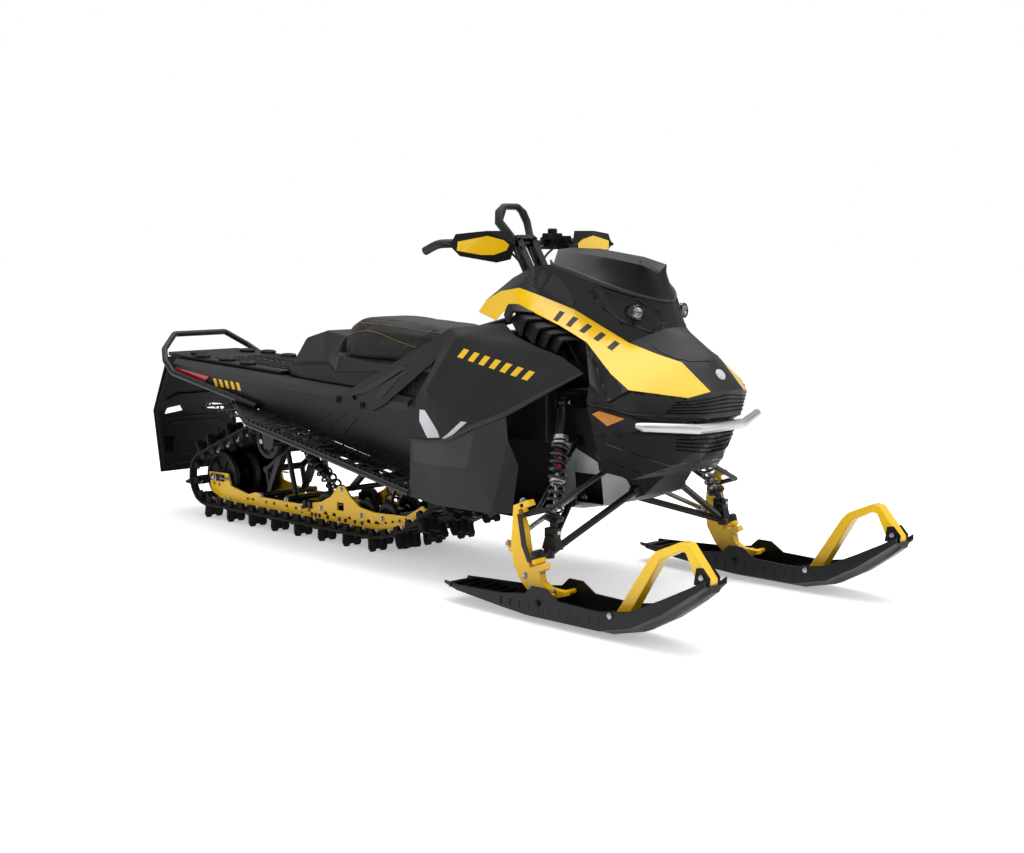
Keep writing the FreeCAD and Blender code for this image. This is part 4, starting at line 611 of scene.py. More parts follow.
def beltLines(samples):
    middle = beltLine(track["thick"] / 2, samples)
    inner, outer = [], []
    for index, (x, z) in enumerate(middle):
        before, after = middle[index - 1], middle[(index + 1) % samples]
        dx, dz = after[0] - before[0], after[1] - before[1]
        size = math.hypot(dx, dz)
        nx, nz = dz / size * track["thick"] / 2, -dx / size * track["thick"] / 2
        outer.append((x + nx, z + nz))
        inner.append((x - nx, z - nz))
    return inner, outer


def lugMesh(blocks):
    # rubber paddles of one row; each is its outline across and down, from the belt to the tip
    b = bmesh.new()
    for low, high in blocks:
        for sign in (-1, 1):
            tip, root = -4 - track["lugHeight"], -3
            profile = [(low, root), (high, root), (high, tip + 14), (high - 8, tip), (high - 26, tip),
                       (high - 31, tip + 8), (low + 31, tip + 8), (low + 26, tip), (low + 6, tip),
                       (low, tip + 10)]
            front = [b.verts.new(at(-5 + (z - root) * 0.03, sign * y, z)) for y, z in profile]
            back = [b.verts.new(at(5 + (z - root) * 0.03, sign * y, z)) for y, z in profile]
            b.faces.new(front)
            b.faces.new(back[::-1])
            for i in range(len(profile)):
                j = (i + 1) % len(profile)
                b.faces.new([front[i], front[j], back[j], back[i]])
            for y in (low + 8, (low + high) / 2, high - 8):      # gussets on both faces
                addBlock(b, at(0, sign * y, root + (tip + 12 - root) / 2),
                         [forward, across, Vector((0, 0, -1))], (26, 7, abs(tip + 12 - root)), taper=0.5)
    bmesh.ops.recalc_face_normals(b, faces=b.faces)
    mesh = rawMesh(b, "lugs")
    return mesh


def makeTrack():
    samples = track["rows"] * 6
    inner, outer = beltLines(samples)
    rubber = []
    b = bmesh.new()
    for low, high in ((-track["halfWidth"], -track["windowOut"]), (-track["windowIn"], track["windowIn"]),
                      (track["windowOut"], track["halfWidth"])):
        addBand(b, outer, inner, low, high)
    bmesh.ops.recalc_face_normals(b, faces=b.faces)
    belt = rawMesh(b, "belt")
    rubber.append(belt)
    path = outlineAt(0, beltLine(track["thick"] / 2, samples))
    bars = bmesh.new()
    for sign in (-1, 1):
        middle = (track["windowIn"] + track["windowOut"]) / 2
        addBlock(bars, at(0, sign * middle, 0), squareAxes, (track["barLength"], 64, track["thick"] + 1))
        for y, wide in ((78, 22), (170, 20)):       # moulded guide teeth on the inner face
            addBlock(bars, at(0, sign * y, 4 + track["toothHeight"] / 2 - 1), squareAxes,
                     (34, wide, track["toothHeight"]), taper=0.55)
    addBlock(bars, at(0, 0, -5), squareAxes, (16, 376, 6), taper=1.0)     # stiffener under each row
    barMesh = rawMesh(bars, "bars")
    rubber.append(rowOf("barRow", path, barMesh, track["rows"], "track_rubber", True))
    for first, blocks in ((0, [(104, 186)]), (1, [(10, 96)])):
        rubber.append(rowOf("lugRow", path, lugMesh(blocks), track["rows"], "track_rubber", True, every=2,
                            first=first))
    gathered("track_belt", rubber, "track_rubber", "chassis", ("track",))
    clips = bmesh.new()
    for sign in (-1, 1):
        addBlock(clips, at(0, sign * 128, 0), squareAxes,
                 (track["barLength"] + 2.4, 30, track["thick"] + 2.2))
        addPrism(clips, [at(-15, sign * 147, 3), at(15, sign * 147, 3),
                         at(5, sign * 147, 3 + track["clipHeight"]),
                         at(-5, sign * 147, 3 + track["clipHeight"])], across, 3.5)
    clipMesh = rawMesh(clips, "clips")
    gathered("track_clips", [rowOf("clipRow", path, clipMesh, track["rows"], "bare_steel", True)],
             "bare_steel", "chassis")


makeTrack()
print("track made")


# Wheels inside the track

wheelSets = {
    # centre x and z, radius, and how far out each wheel sits
    "rear_axle": {"x": -1222, "z": 159.8, "radius": 100.7, "places": (-100, 0, 100), "shaft": (10, 292)},
    "upper_idler": {"x": -868, "z": 338, "radius": 70.2, "places": (-128, 128), "shaft": (10, 340)},
}
idlerRows = [(-545, 114.1), (-310, 114.1), (-190, 116.1)]
wheelWidth = 26


def addWheel(b, centre, radius, width=wheelWidth):
    # rubber tyre (material 0) on a moulded disc (1) with a steel bearing (2)
    half = width / 2
    start = centre - across * half * mm
    tyre = [(2, radius - 3), (5, radius), (width - 5, radius), (width - 2, radius - 3),
            (width - 1, radius - 13), (1, radius - 13)]
    addTurned(b, tyre, start, across, 56, 0, True)
    hub = radius * 0.3
    disc = [(1.5, radius - 13.2), (width - 1.5, radius - 13.2), (width - 1.5, radius - 19),
            (half + 5, radius - 22),
            (half + 3, hub + 6), (width - 2, hub), (width - 2, 15), (2, 15), (2, hub), (half - 3, hub + 6),
            (half - 5, radius - 22), (1.5, radius - 19)]
    addTurned(b, disc, start, across, 56, 1, True)
    addTurned(b, [(1, 0), (1, 9), (3, 15.5), (width - 3, 15.5), (width - 1, 9), (width - 1, 0)], start,
              across, 24, 2)


def spokesOf(centre, radius, count):
    hub = radius * 0.3
    middle = (hub + radius - 20) / 2
    b = bmesh.new()
    addBlock(b, Vector((0, 0, 0)), squareAxes, (6, wheelWidth - 6, radius - 18 - hub), taper=1.0)
    mesh = rawMesh(b, "spoke")
    ring = [centre + Vector((math.cos(t), 0, math.sin(t))) * middle * mm
            for t in [2 * math.pi * step / 60 for step in range(60)]]
    return rowOf("spokes", ring, mesh, count, "black_plastic", True)


def makeWheels():
    for node, spec in wheelSets.items():
        b = bmesh.new()
        ribs = []
        radius, length = spec["shaft"]
        start = at(spec["x"], -length / 2, spec["z"])
        addTurned(b, [(0, radius - 1), (1, radius), (length - 1, radius), (length, radius - 1)], start,
                  across, 20, 2)
        for y in spec["places"]:
            centre = at(spec["x"], y, spec["z"])
            addWheel(b, centre, spec["radius"])
            ribs.append(spokesOf(centre, spec["radius"], 6))
        built(node + "_wheels", b, "wheel_rubber", "chassis", (node,),
              ("wheel_rubber", "black_plastic", "bare_steel"))
        gathered(node + "_spokes", ribs, "black_plastic", "chassis")
    b = bmesh.new()
    ribs = []
    for x, z in idlerRows:
        addTurned(b, [(0, 9), (1, 10), (246.4, 10), (247.4, 9)], at(x, -123.7, z), across, 20, 2)
        for y in (-100, 100):
            addWheel(b, at(x, y, z), 54.7)
            ribs.append(spokesOf(at(x, y, z), 54.7, 5))
    built("idler_wheels_detail", b, "wheel_rubber", "chassis", ("idler_wheels",),
          ("wheel_rubber", "black_plastic", "bare_steel"))
    gathered("idler_spokes", ribs, "black_plastic", "chassis")


makeWheels()
print("wheels made")


# Shocks: damper, rod, eyes, collars and coil

def addDamper(b, bottom, top, pinAxis, spec):
    # 0 black body, 1 steel rod, 2 silver collars, 3 red adjusters
    axis = (top - bottom).normalized()
    length = (top - bottom).length / mm
    body, split = spec["body"], spec["split"]
    addTurned(b, [(length * 0.06, 7), (length * split + 10, 7)], bottom, axis, 16, 1)
    addTurned(b, [(length * split - 6, body * 0.72), (length * split, body), (length * 0.93, body),
                  (length * 0.955, body * 0.7)], bottom, axis, 28, 0)
    for place, radius, tall in spec["collars"]:
        addTurned(b, [(length * place, radius - 2), (length * place + 1.5, radius),
                      (length * place + tall, radius),
                      (length * place + tall + 1.5, radius - 2)], bottom, axis, 32, 2)
    addTurned(b, [(length * 0.07, 11), (length * 0.09, spec["coil"] + 2), (length * 0.115, spec["coil"] + 2),
                  (length * 0.125, 12)], bottom, axis, 28, 0)
    half = 14
    for end in (bottom, top):
        addTurned(b, [(-half, spec["eye"] - 1), (1 - half, spec["eye"]), (half - 1, spec["eye"]),
                      (half, spec["eye"] - 1)],
                  end, pinAxis, 24, 0)
        addBolt(b, end + pinAxis.normalized() * half * mm, pinAxis, 5, 1)
    for end, way in ((bottom, axis), (top, -axis)):
        addTurned(b, [(4, 10), (length * 0.09, 12)], end, way, 16, 0)
    if spec.get("adjusters"):
        for share in spec["adjusters"]:
            away = Vector((0.75, -0.65 if bottom.y < 0 else 0.65, 0.1)).normalized()
            addTurned(b, [(body - 4, 6), (body + 4, 6), (body + 5, 4.5)], bottom + axis * length * share * mm,
                      away, 14, 3)


frontShock = {"body": 19, "split": 0.46, "coil": 27, "eye": 15, "adjusters": (0.5, 0.56),
              "collars": [(0.7, 23, 13), (0.665, 27, 6), (0.375, 24, 8), (0.35, 19, 5)]}
skidShock = {"body": 19, "split": 0.5, "coil": 24, "eye": 18, "collars": [(0.86, 24, 6)]}
shockEnds = {
    "front": [(at(922, s * 400, 246), at(835, s * 262, 622), Vector((1, 0, 0.05))) for s in (-1, 1)],
    "skid": [(at(-310, 0, 114.1), at(-190, 0, 396), across), (at(-545, 0, 114.1), at(-812, 0, 304), across)],
}


def makeShocks():
    for name, spec, node in (("front", frontShock, "front_shocks"), ("skid", skidShock, "skid_shocks")):
        b = bmesh.new()
        coils = []
        for bottom, top, pinAxis in shockEnds[name]:
            addDamper(b, bottom, top, pinAxis, spec)
            axis = top - bottom
            if name == "front":     # close turns at the foot, wide turns above
                coils.append(coil("foot", bottom + axis * 0.12, bottom + axis * 0.35, 23, 4.2, 4.2,
                                  "spring steel, black"))
                coils.append(coil("rise", bottom + axis * 0.395, bottom + axis * 0.665, 26, 4.6, 4.6,
                                  "spring steel, black"))
            else:
                coils.append(coil("rise", bottom + axis * 0.13, bottom + axis * 0.85, 26, 4.6, 7,
                                  "spring steel, black"))
        built(name + "_dampers", b, "black_metal", "chassis", (node,),
              ("black_metal", "bare_steel", "silver_metal", "red anodised aluminium"))
        gathered(name + "_springs", coils, "black_metal", "chassis", materials=("spring steel, black",))


makeShocks()
print("shocks made")


# Pieces that keep their CAD shape, with broken edges: node, edge width, steps

brokenEdges = {
    "slide_rails": (1.4, 2), "rail_sliders": (1.5, 2), "rear_arm": (1.2, 2), "front_arm": (1.2, 2),
    "skid_hangers": (1, 2), "drive_axle": (2, 2), "tunnel": (1.2, 2), "running_boards": (0.8, 1),
    "rear_bumper": (0, 1), "snow_flap": (1.5, 2), "tail_lights": (1.2, 2), "rear_deck": (2.5, 3),
    "seat_base": (9, 4), "fuel_tank": (10, 4), "side_frames": (1.8, 3), "engine": (8, 3),
    "bulkhead": (4, 3), "under_tray": (3, 2), "foot_wells": (1, 2), "upper_frame": (1, 2),
    "lower_arms": (1.2, 2), "upper_arms": (1, 2), "spindle_right": (3, 3), "spindle_left": (3, 3),
    "tie_rod_right": (0.8, 2), "tie_rod_left": (0.8, 2), "ski_right": (2, 2), "ski_left": (2, 2),
    "ski_loop_right": (6, 4), "ski_loop_left": (6, 4), "handlebar": (1, 2), "bar_controls": (5, 3),
    "reflectors": (1, 2), "vent_louvres": (1.2, 2), "headlights": (1.5, 2),
}
slotOf = {part["node"]: part["material_slot"] for part in frame["record"]["subparts"]}


def makeBrokenEdges():
    for node, (width, steps) in brokenEdges.items():
        fitOut(rounded(node, width, steps), slotOf[node], bodyOf[node], (node,))


makeBrokenEdges()


def paintBulkhead():
    # black all over but for the bare cheeks low down at its sides
    thing = next(piece for piece in bpy.data.objects if piece.name.startswith("bulkhead_soft"))
    thing.data.materials.append(finishes["black_plastic"])
    b = bmesh.new()
    b.from_mesh(thing.data)
    edges = ((at(822, 0, 440), Vector((0.42, 0, 0.91))), (at(975, 0, 340), Vector((0.9, 0, 0.42))),
             (at(716, 0, 400), Vector((-0.97, 0, 0.25))))
    for place, normal in edges:
        bmesh.ops.bisect_plane(b, geom=b.verts[:] + b.edges[:] + b.faces[:], plane_co=place, plane_no=normal)
    for face in b.faces:
        centre = face.calc_center_median()
        bare = abs(face.normal.y) > 0.5 and all((centre - place).dot(normal) < 0 for place, normal in edges)
        face.material_index = 0 if bare else 1
    b.to_mesh(thing.data)
    b.free()


paintBulkhead()
print("frame pieces softened")


# Body panels: the outer sheet of each, with rounded folds, a wall and an eased rim

panelLooks = {
    # fold radius, smallest fold kept crisp (degrees), smoothing passes, a point behind the outer face
    "hood_bands": (5, 24, 5, (800, 0, 600)), "cowl": (5, 26, 6, (800, 0, 600)),
    "windshield": (5, 38, 14, (820, 0, 700)), "corner_panels": (4, 22, 4, (800, 0, 650)),
    "nose_grille": (3, 20, 2, (900, 0, 640)), "belly_pan": (5, 22, 4, (950, 0, 640)),
    "side_panels": (6, 22, 6, (600, 0, 500)), "lower_panels": (6, 22, 5, (500, 0, 420)),
    "hand_guards": (3, 14, 1, (420, 0, 1090)),
}
skins = {}


def outerSheet(node, inside):
    b = mergedCopy(node)
    bmesh.ops.triangulate(b, faces=b.faces)
    b.normal_update()
    tree = BVHTree.FromBMesh(b)
    rim = []
    for face in b.faces:
        centre = face.calc_center_median()
        hit, normal = tree.ray_cast(centre - face.normal * 0.1 * mm, -face.normal, 12 * mm)[:2]
        if hit is None or normal.dot(face.normal) > -0.5:
            rim.append(face)
    bmesh.ops.delete(b, geom=rim, context="FACES")
    inside = at(*inside)
    left = set(b.faces)
    drop = []
    while left:
        group, front = set(), [left.pop()]
        while front:
            face = front.pop()
            group.add(face)
            for edge in face.edges:
                for other in edge.link_faces:
                    if other in left:
                        left.discard(other)
                        front.append(other)
        facing = [(face.calc_center_median() - inside).normalized().dot(face.normal) for face in group]
        if sum(face.calc_area() * turned for face, turned in zip(group, facing)) < 0:
            drop += group
    bmesh.ops.delete(b, geom=drop, context="FACES")
    loose = [v for v in b.verts if not v.link_faces]
    bmesh.ops.delete(b, geom=loose, context="VERTS")
    bmesh.ops.dissolve_limit(b, angle_limit=math.radians(1), verts=b.verts, edges=b.edges)
    return b


def softenedSheet(node, inside, crispFold, passes):
    # the outer sheet with fine facets; shallow folds spread out, the crisp ones stay as lines
    b = outerSheet(node, inside)
    bmesh.ops.triangulate(b, faces=b.faces)
    crisp = b.edges.layers.int.new("crisp")
    for edge in b.edges:
        if edge.is_boundary or edge.calc_face_angle(0) > math.radians(crispFold):
            edge[crisp] = 1
    for _ in range(5):
        long = [edge for edge in b.edges if edge.calc_length() > 26 * mm]
        if not long:
            break
        bmesh.ops.subdivide_edges(b, edges=long, cuts=1)
        bmesh.ops.triangulate(b, faces=[face for face in b.faces if len(face.verts) > 3])
    free = [v for v in b.verts if not any(edge[crisp] for edge in v.link_edges)]
    for _ in range(passes):
        moved = [(v, sum((edge.other_vert(v).co for edge in v.link_edges),
                         Vector()) / len(v.link_edges)) for v in free]
        for v, mean in moved:
            v.co = v.co.lerp(mean, 0.6)
    folds = [edge for edge in b.edges if edge[crisp] and not edge.is_boundary]
    return b, folds


def makePanels():
    for node, (radius, crispFold, passes, inside) in panelLooks.items():
        b, folds = softenedSheet(node, inside, crispFold, passes)
        bmesh.ops.bevel(b, geom=folds, offset=radius * mm, offset_type="OFFSET", segments=3, profile=0.5,
                        affect="EDGES", clamp_overlap=True)
        mesh = bpy.data.meshes.new(node + "_panel")
        b.to_mesh(mesh)
        skins[node] = BVHTree.FromBMesh(b)
        b.free()
        thing = newObject(node + "_panel", mesh)
        wall = thing.modifiers.new("wall", "SOLIDIFY")
        wall.thickness = 3 * mm
        wall.offset = -1
        rim = thing.modifiers.new("rim", "BEVEL")
        rim.width = 1.1 * mm
        rim.segments = 2
        rim.limit_method = "ANGLE"
        rim.angle_limit = math.radians(62)
        thing = frozen(thing)
        if node in panelCuts:
            thing = cutThrough(thing, panelCuts[node]())
        smoothed(thing.data, 50)
        fitOut(evened(thing), slotOf[node], bodyOf[node], (node,), panelFinish.get(node))


# Recess round each headlight: its outline on the cowl, how deep it sinks, and the way in
brow = {
    "outline": [(846, -157, 961), (872, -154, 969), (915, -138, 956), (985, -90, 932), (1018, -62, 906),
                (1044, -48, 868), (1030, -86, 836), (962, -140, 866), (898, -152, 910)],
    "depths": [2, 6, 12, 20, 22, 14, 12, 16, 6], "wayIn": (-0.6, 0.72, -0.33),
}


def cutThrough(thing, cutter):
    # hole through a panel; only faces of the panel itself are kept
    before = bmesh.new()
    before.from_mesh(thing.data)
    skin = BVHTree.FromBMesh(before)
    before.free()
    cut = thing.modifiers.new("cut", "BOOLEAN")
    cut.operation = "DIFFERENCE"
    cut.solver = "EXACT"
    cut.object = cutter
    thing = frozen(thing)
    bpy.data.objects.remove(cutter)
    b = bmesh.new()
    b.from_mesh(thing.data)
    off = {v for v in b.verts if skin.find_nearest(v.co)[3] > 0.6 * mm}
    stray = [face for face in b.faces if any(v in off for v in face.verts)]
    bmesh.ops.delete(b, geom=stray, context="FACES")
    b.to_mesh(thing.data)
    b.free()
    return thing


def browCutter():
    def oneSide(b):
        way = Vector(brow["wayIn"]).normalized() * 40 * mm
        outline = [at(*point) for point in brow["outline"]]
        near = [b.verts.new(point - way) for point in outline]
        far = [b.verts.new(point + way) for point in outline]
        b.faces.new(near)
        b.faces.new(far[::-1])
        for i in range(len(near)):
            j = (i + 1) % len(near)
            b.faces.new([near[j], near[i], far[i], far[j]])
        bmesh.ops.recalc_face_normals(b, faces=b.faces)
    b = bmesh.new()
    mirroredInto(b, oneSide)
    mesh = rawMesh(b, "browCutter")
    return newObject("browCutter", mesh)


panelCuts = {"cowl": browCutter}
panelFinish = {"hand_guards": ("black_plastic",), "nose_grille": ("dark inlay",)}
makePanels()
print("panels made")


# Things laid on the panels

def addPatch(b, skin, outline, lift=0.1, thick=1.0, material=0, cell=16):
    # film or inset cut to an outline and following the panel under it
    patch = bmesh.new()
    face = patch.faces.new([patch.verts.new(at(*point)) for point in outline])
    bmesh.ops.triangulate(patch, faces=[face])
    for _ in range(4):
        long = [edge for edge in patch.edges if edge.calc_length() > cell * mm]
        if not long:
            break
        bmesh.ops.subdivide_edges(patch, edges=long, cuts=1)
        bmesh.ops.triangulate(patch, faces=[face for face in patch.faces if len(face.verts) > 3])
    normals = {}
    for v in patch.verts:
        place, normal = skin.find_nearest(v.co)[:2]
        normals[v] = normal
        v.co = place + normal * lift * mm
    lifted = {v: patch.verts.new(v.co + normals[v] * thick * mm) for v in list(normals)}
    for face in list(patch.faces):
        patch.faces.new([lifted[v] for v in face.verts])
        for edge in face.edges:
            if edge.is_boundary:
                i, j = [v for v in face.verts if v in edge.verts]
                if list(face.verts).index(j) - list(face.verts).index(i) not in (1, -2):
                    i, j = j, i
                patch.faces.new([i, j, lifted[j], lifted[i]])
    bmesh.ops.recalc_face_normals(patch, faces=patch.faces)
    for face in patch.faces:
        face.material_index = material
    mesh = rawMesh(patch, "patch")
    b.from_mesh(mesh)
    bpy.data.meshes.remove(mesh)


def addLine(b, skin, points, widthMm, thick=1.0, material=0, closed=False, lift=-0.6):
    # flat strip running over a panel, pinched to the surface all along
    stops = [at(*point) for point in points]
    if closed:
        stops.append(stops[0])
    line = []
    for first, second in zip(stops, stops[1:]):
        count = max(1, int((second - first).length / (11 * mm)))
        line += [first.lerp(second, i / count) for i in range(count)]
    if not closed:
        line.append(stops[-1])
    spots = [skin.find_nearest(point)[:2] for point in line]
    rings = []
    for i, (place, normal) in enumerate(spots):
        ahead = spots[(i + 1) % len(spots)][0] if closed or i + 1 < len(spots) else place
        behind = spots[i - 1][0] if closed or i else place
        side = (ahead - behind).cross(normal).normalized() * widthMm * mm / 2
        low, high = place + normal * lift * mm, place + normal * thick * mm
        rings.append([b.verts.new(p) for p in (low - side, high - side * 0.7, high + side * 0.7, low + side)])
    pairs = list(zip(rings, rings[1:])) + ([(rings[-1], rings[0])] if closed else [])
    for first, second in pairs:
        for i in range(4):
            j = (i + 1) % 4
            b.faces.new([first[i], first[j], second[j], second[i]]).material_index = material
    if not closed:
        for ring in (rings[0], rings[-1]):
            b.faces.new(ring).material_index = material


def bothSides(name, makeRight, slotName, body="chassis", materials=None, standsFor=(), degrees=35):
    b = bmesh.new()
    mirroredInto(b, makeRight)
    return built(name, b, slotName, body, standsFor, materials, degrees)


lamp = {"place": (985, -107, 894), "facing": (1, -0.25, 0.05), "radius": 24}


def makeHeadlights():
    def housing(b):
        way = Vector(brow["wayIn"]).normalized()
        rim = [at(*point) for point in brow["outline"]]
        middle = sum(rim, Vector()) / len(rim)
        floor = [point.lerp(middle, 0.1) + way * deep * mm for point, deep in zip(rim, brow["depths"])]
        bed = middle + way * 24 * mm
        outer = [b.verts.new(point + way * 1 * mm) for point in rim]
        inner = [b.verts.new(point) for point in floor]
        centre = b.verts.new(bed)
        back = [b.verts.new(point + way * 5 * mm) for point in rim]
        deepest = [b.verts.new(point + way * 4 * mm) for point in floor]
        behind = b.verts.new(bed + way * 4 * mm)
        for i in range(len(rim)):
            j = (i + 1) % len(rim)
            b.faces.new([outer[i], outer[j], inner[j], inner[i]])
            b.faces.new([inner[i], inner[j], centre])
            b.faces.new([back[j], back[i], deepest[i], deepest[j]])
            b.faces.new([deepest[j], deepest[i], behind])
            b.faces.new([outer[j], outer[i], back[i], back[j]])
        bmesh.ops.recalc_face_normals(b, faces=b.faces)
    bothSides("lamp_recess", housing, "black_plastic", materials=("gloss_black_plastic",))

    def seam(b):
        addTube(b, [at(*point) for point in brow["outline"] + brow["outline"][:1]], 2.2, 8)
    bothSides("lamp_recess_seam", seam, "black_plastic", materials=("dark inlay",))

    def optics(b):      # 0 black bezel, 1 bright bowl, 2 core painted plain white as if lit: painted glow, no light of its own
        place, axis, r = at(*lamp["place"]), Vector(lamp["facing"]), lamp["radius"]
        addTurned(b, [(-15, r), (12, r), (15, r - 1.5), (13, r - 4), (-15, r - 4)], place, axis, 40, 0, True)
        bowl = [(-14, 0), (-14, 17), (8, r - 4.2), (6, r - 6), (-3, 12), (-6, 6), (-6, 0)]
        addTurned(b, bowl, place, axis, 40, 1)
        addTurned(b, [(9, r - 1), (14, r), (16, r - 2), (12, r - 6), (9, r - 6)], place, axis, 40, 0, True)
        inward = Vector((0.25, 0.95, -0.15))
        addPrism(b, [place + (inward * reach + upward * high) * mm
                     for reach, high in ((20, 16), (58, 10), (72, -2), (54, -14), (20, -16))], axis, 5, 0)
        addTurned(b, [(-6, 0), (-6, 7), (1, 8), (4, 6), (6, 0)], place, axis, 28, 2)
        for ring in (9.5, 13.5):
            addTurned(b, [(-5, ring + 1), (1, ring + 1), (1, ring), (-5, ring)], place, axis, 32, 1, True)
    bothSides("lamp_optics", optics, "clear_lens", standsFor=("headlights",),
              materials=("polished black rim", "chromed reflector", "lit lamp core"))

    def glass(b):
        place, axis, r = at(*lamp["place"]), Vector(lamp["facing"]), lamp["radius"]
        addTurned(b, [(8, 0), (8, r - 4.5), (12, r - 4.3), (16, 12), (17.5, 0)], place, axis, 40)
    bothSides("lamp_glass", glass, "clear_lens")


makeHeadlights()
print("headlights made")

marks = {
    # skin, thickness, finish, and outline on the right-hand side
    "inset_rear": ("cowl", 1.2, "printed film, mid grey",
        [(575, -160, 980), (632, -148, 1018), (688, -167, 1013), (648, -176, 957)]),
    "inset_front": ("cowl", 1.2, "printed film, mid grey",
        [(656, -175, 957), (697, -167, 1008), (735, -165, 986), (788, -165, 926), (768, -169, 908)]),
    "inset_notch": ("cowl", 2.2, "dark inlay",
        [(764, -168, 932), (786, -166, 926), (784, -167, 910), (764, -169, 914)]),
    "side_film": ("lower_panels", 0.4, "printed film, mid grey",
        [(276, -389, 458), (440, -396, 474), (572, -392, 520), (545, -390, 424), (528, -388, 396),
         (274, -387, 392)]),
    "side_chevron_rear": ("side_panels", 0.7, "printed film, pale grey",
        [(297, -381, 566), (328, -384, 566), (398, -395, 508), (414, -397, 486), (352, -390, 478),
         (302, -382, 530)]),
    "side_chevron_front": ("side_panels", 0.7, "printed film, pale grey",
        [(426, -397, 484), (452, -397, 500), (510, -393, 545), (538, -393, 545), (470, -397, 494),
         (446, -398, 482)]),
}
panelSeams = [
    # skin, width, thickness, whether it closes, and line on the right-hand side
    ("cowl", 5, 0.8, True,
     [(566, -165, 975), (620, -141, 1030), (692, -166, 1024), (724, -165, 1002), (802, -164, 924),
      (786, -167, 900), (700, -172, 918), (623, -172, 952)]),
    ("cowl", 5, 2.2, False,
     [(1203, 0, 754), (1193, -35, 757), (1172, -70, 755), (1138, -94, 764), (1092, -106, 780),
      (1056, -108, 800), (1040, -90, 832)]),
    ("cowl", 3.5, 1.2, False,
     [(1040, -90, 832), (1052, -48, 866), (1062, 0, 862)]),
    ("corner_panels", 9, 2, False,
     [(990, -318, 632), (1043, -281, 618), (1089, -244, 603), (1140, -185, 598)]),
    ("corner_panels", 2.5, 0.4, False,
     [(1045, -294, 640), (1070, -284, 655), (1098, -268, 674)]),
]
slashRows = {
    # slanting bars: skin, upper ends of the first and last bar, how far each falls, width, count, finish
    "side_slashes": ("side_panels", (440, -314, 768), (748, -325, 716), (-18, -16, -26), 26, 7,
                     "printed film, yellow"),
    "band_slashes": ("hood_bands", (748, -190, 893), (960, -170, 812), (4, -40, -18), 20, 5, "dark inlay"),
}


def makeMarks():
    byFinish = {}
    for skin, thick, finish, outline in marks.values():
        byFinish.setdefault(finish, []).append((skin, outline, thick))
    for finish, group in byFinish.items():
        def layOn(b):
            for skin, outline, thick in group:
                addPatch(b, skins[skin], outline, 0.1, thick)
        bothSides("film_" + finish.replace(", ", "_").replace(" ", "_"), layOn, "grey_plastic",
                  materials=(finish,))
    for name, (skin, first, last, fall, width, count, finish) in slashRows.items():

        def bars(b):
            for number in range(count):
                top = Vector(first).lerp(Vector(last), number / (count - 1))
                along = (Vector(last) - Vector(first)).normalized() * width
                corners = [top, top + along, top + along + Vector(fall), top + Vector(fall)]
                addPatch(b, skins[skin], [tuple(corner) for corner in corners], 0.1, 0.7)
        bothSides(name, bars, "grey_plastic", materials=(finish,))

    def seams(b):
        for skin, width, thick, closed, line in panelSeams:
            addLine(b, skins[skin], line, width, thick, closed=closed)
    bothSides("panel_seams", seams, "black_plastic", materials=("dark inlay",))

    b = bmesh.new()
    place, facing = at(1233, 0, 714), Vector((0.81, 0, 0.58))
    addTurned(b, [(-7, 17), (1, 18.5), (3, 17), (3.6, 12), (3.8, 0)], place, facing, 40)
    addTurned(b, [(3, 13), (5, 12), (5.2, 0)], place, facing, 6)
    built("nose_badge_blank", b, "grey_plastic", materials=("printed film, pale grey",))


makeMarks()
print("films and seams made")

# Rubber strip along the foot of the side panel, and under the screen
strips = {
    "side_strip": ([(262, -392, 466), (436, -404, 477), (570, -399, 533), (704, -389, 583), (836, -363, 651),
                    (968, -325, 720)], [3, 6, 9, 9, 7, 3]),
    "screen_strip": ([(676, -160, 1050), (700, -168, 1034), (780, -164, 1014), (868, -155, 987),
                      (920, -130, 968), (962, -102, 952), (1004, -58, 936), (1028, -24, 928), (1034, 0, 927)],
                      [3, 7, 8, 8, 7, 6, 5, 5, 5]),
}


def makeStrips():
    for name, (points, radii) in strips.items():
        def strip(b):
            line = smoothLine([at(*point) for point in points], 6)
            span = len(line) - 1
            widths = []
            for i in range(len(line)):
                place = i / span * (len(radii) - 1)
                low = min(int(place), len(radii) - 2)
                widths.append(radii[low] + (radii[low + 1] - radii[low]) * (place - low))
            addTube(b, line, widths, 10, 0)
        bothSides(name, strip, "black_plastic", materials=("grip rubber",))


makeStrips()

# Stacked vent fins between the hood band and the side panel: upper end, shoulder and foot of each
ventFins = [((668, -226, 888), (600, -258, 893), (584, -262, 856)),
            ((709, -228, 869), (657, -262, 868), (640, -264, 818)),
            ((770, -230, 850), (716, -264, 842), (700, -268, 796)),
            ((826, -232, 831), (770, -266, 827), (752, -272, 784)),
            ((868, -236, 815), (822, -268, 811), (806, -276, 774))]


def bladeLine(fin):
    top, shoulder, foot = [at(*point) for point in fin]
    return smoothLine([top, top.lerp(shoulder, 0.8), shoulder.lerp(foot, 0.2), foot], 4)


def makeVents():
    def fins(b):
        back = [(560, 895), (640, 903), (800, 861), (884, 821), (900, 706), (610, 740)]
        addPrism(b, outlineAt(-204.6, back), across, 2.6)
        before = [point + Vector((-46, 4, 20)) * mm for point in bladeLine(ventFins[0])]
        for fin in ventFins:
            line = bladeLine(fin)
            tuck = [point + Vector((0, 26, 0)) * mm for point in before]
            rows = [[b.verts.new(edge), b.verts.new(edge + Vector((5, 7, -4)) * mm),
                     b.verts.new(inner + Vector((5, 7, -4)) * mm), b.verts.new(inner)] for edge,
                     inner in zip(line, tuck)]
            addRings(b, rows)
            before = line
        bmesh.ops.recalc_face_normals(b, faces=b.faces)
    bothSides("vent_fins", fins, "black_plastic", standsFor=("vent_louvres",), degrees=25)


makeVents()

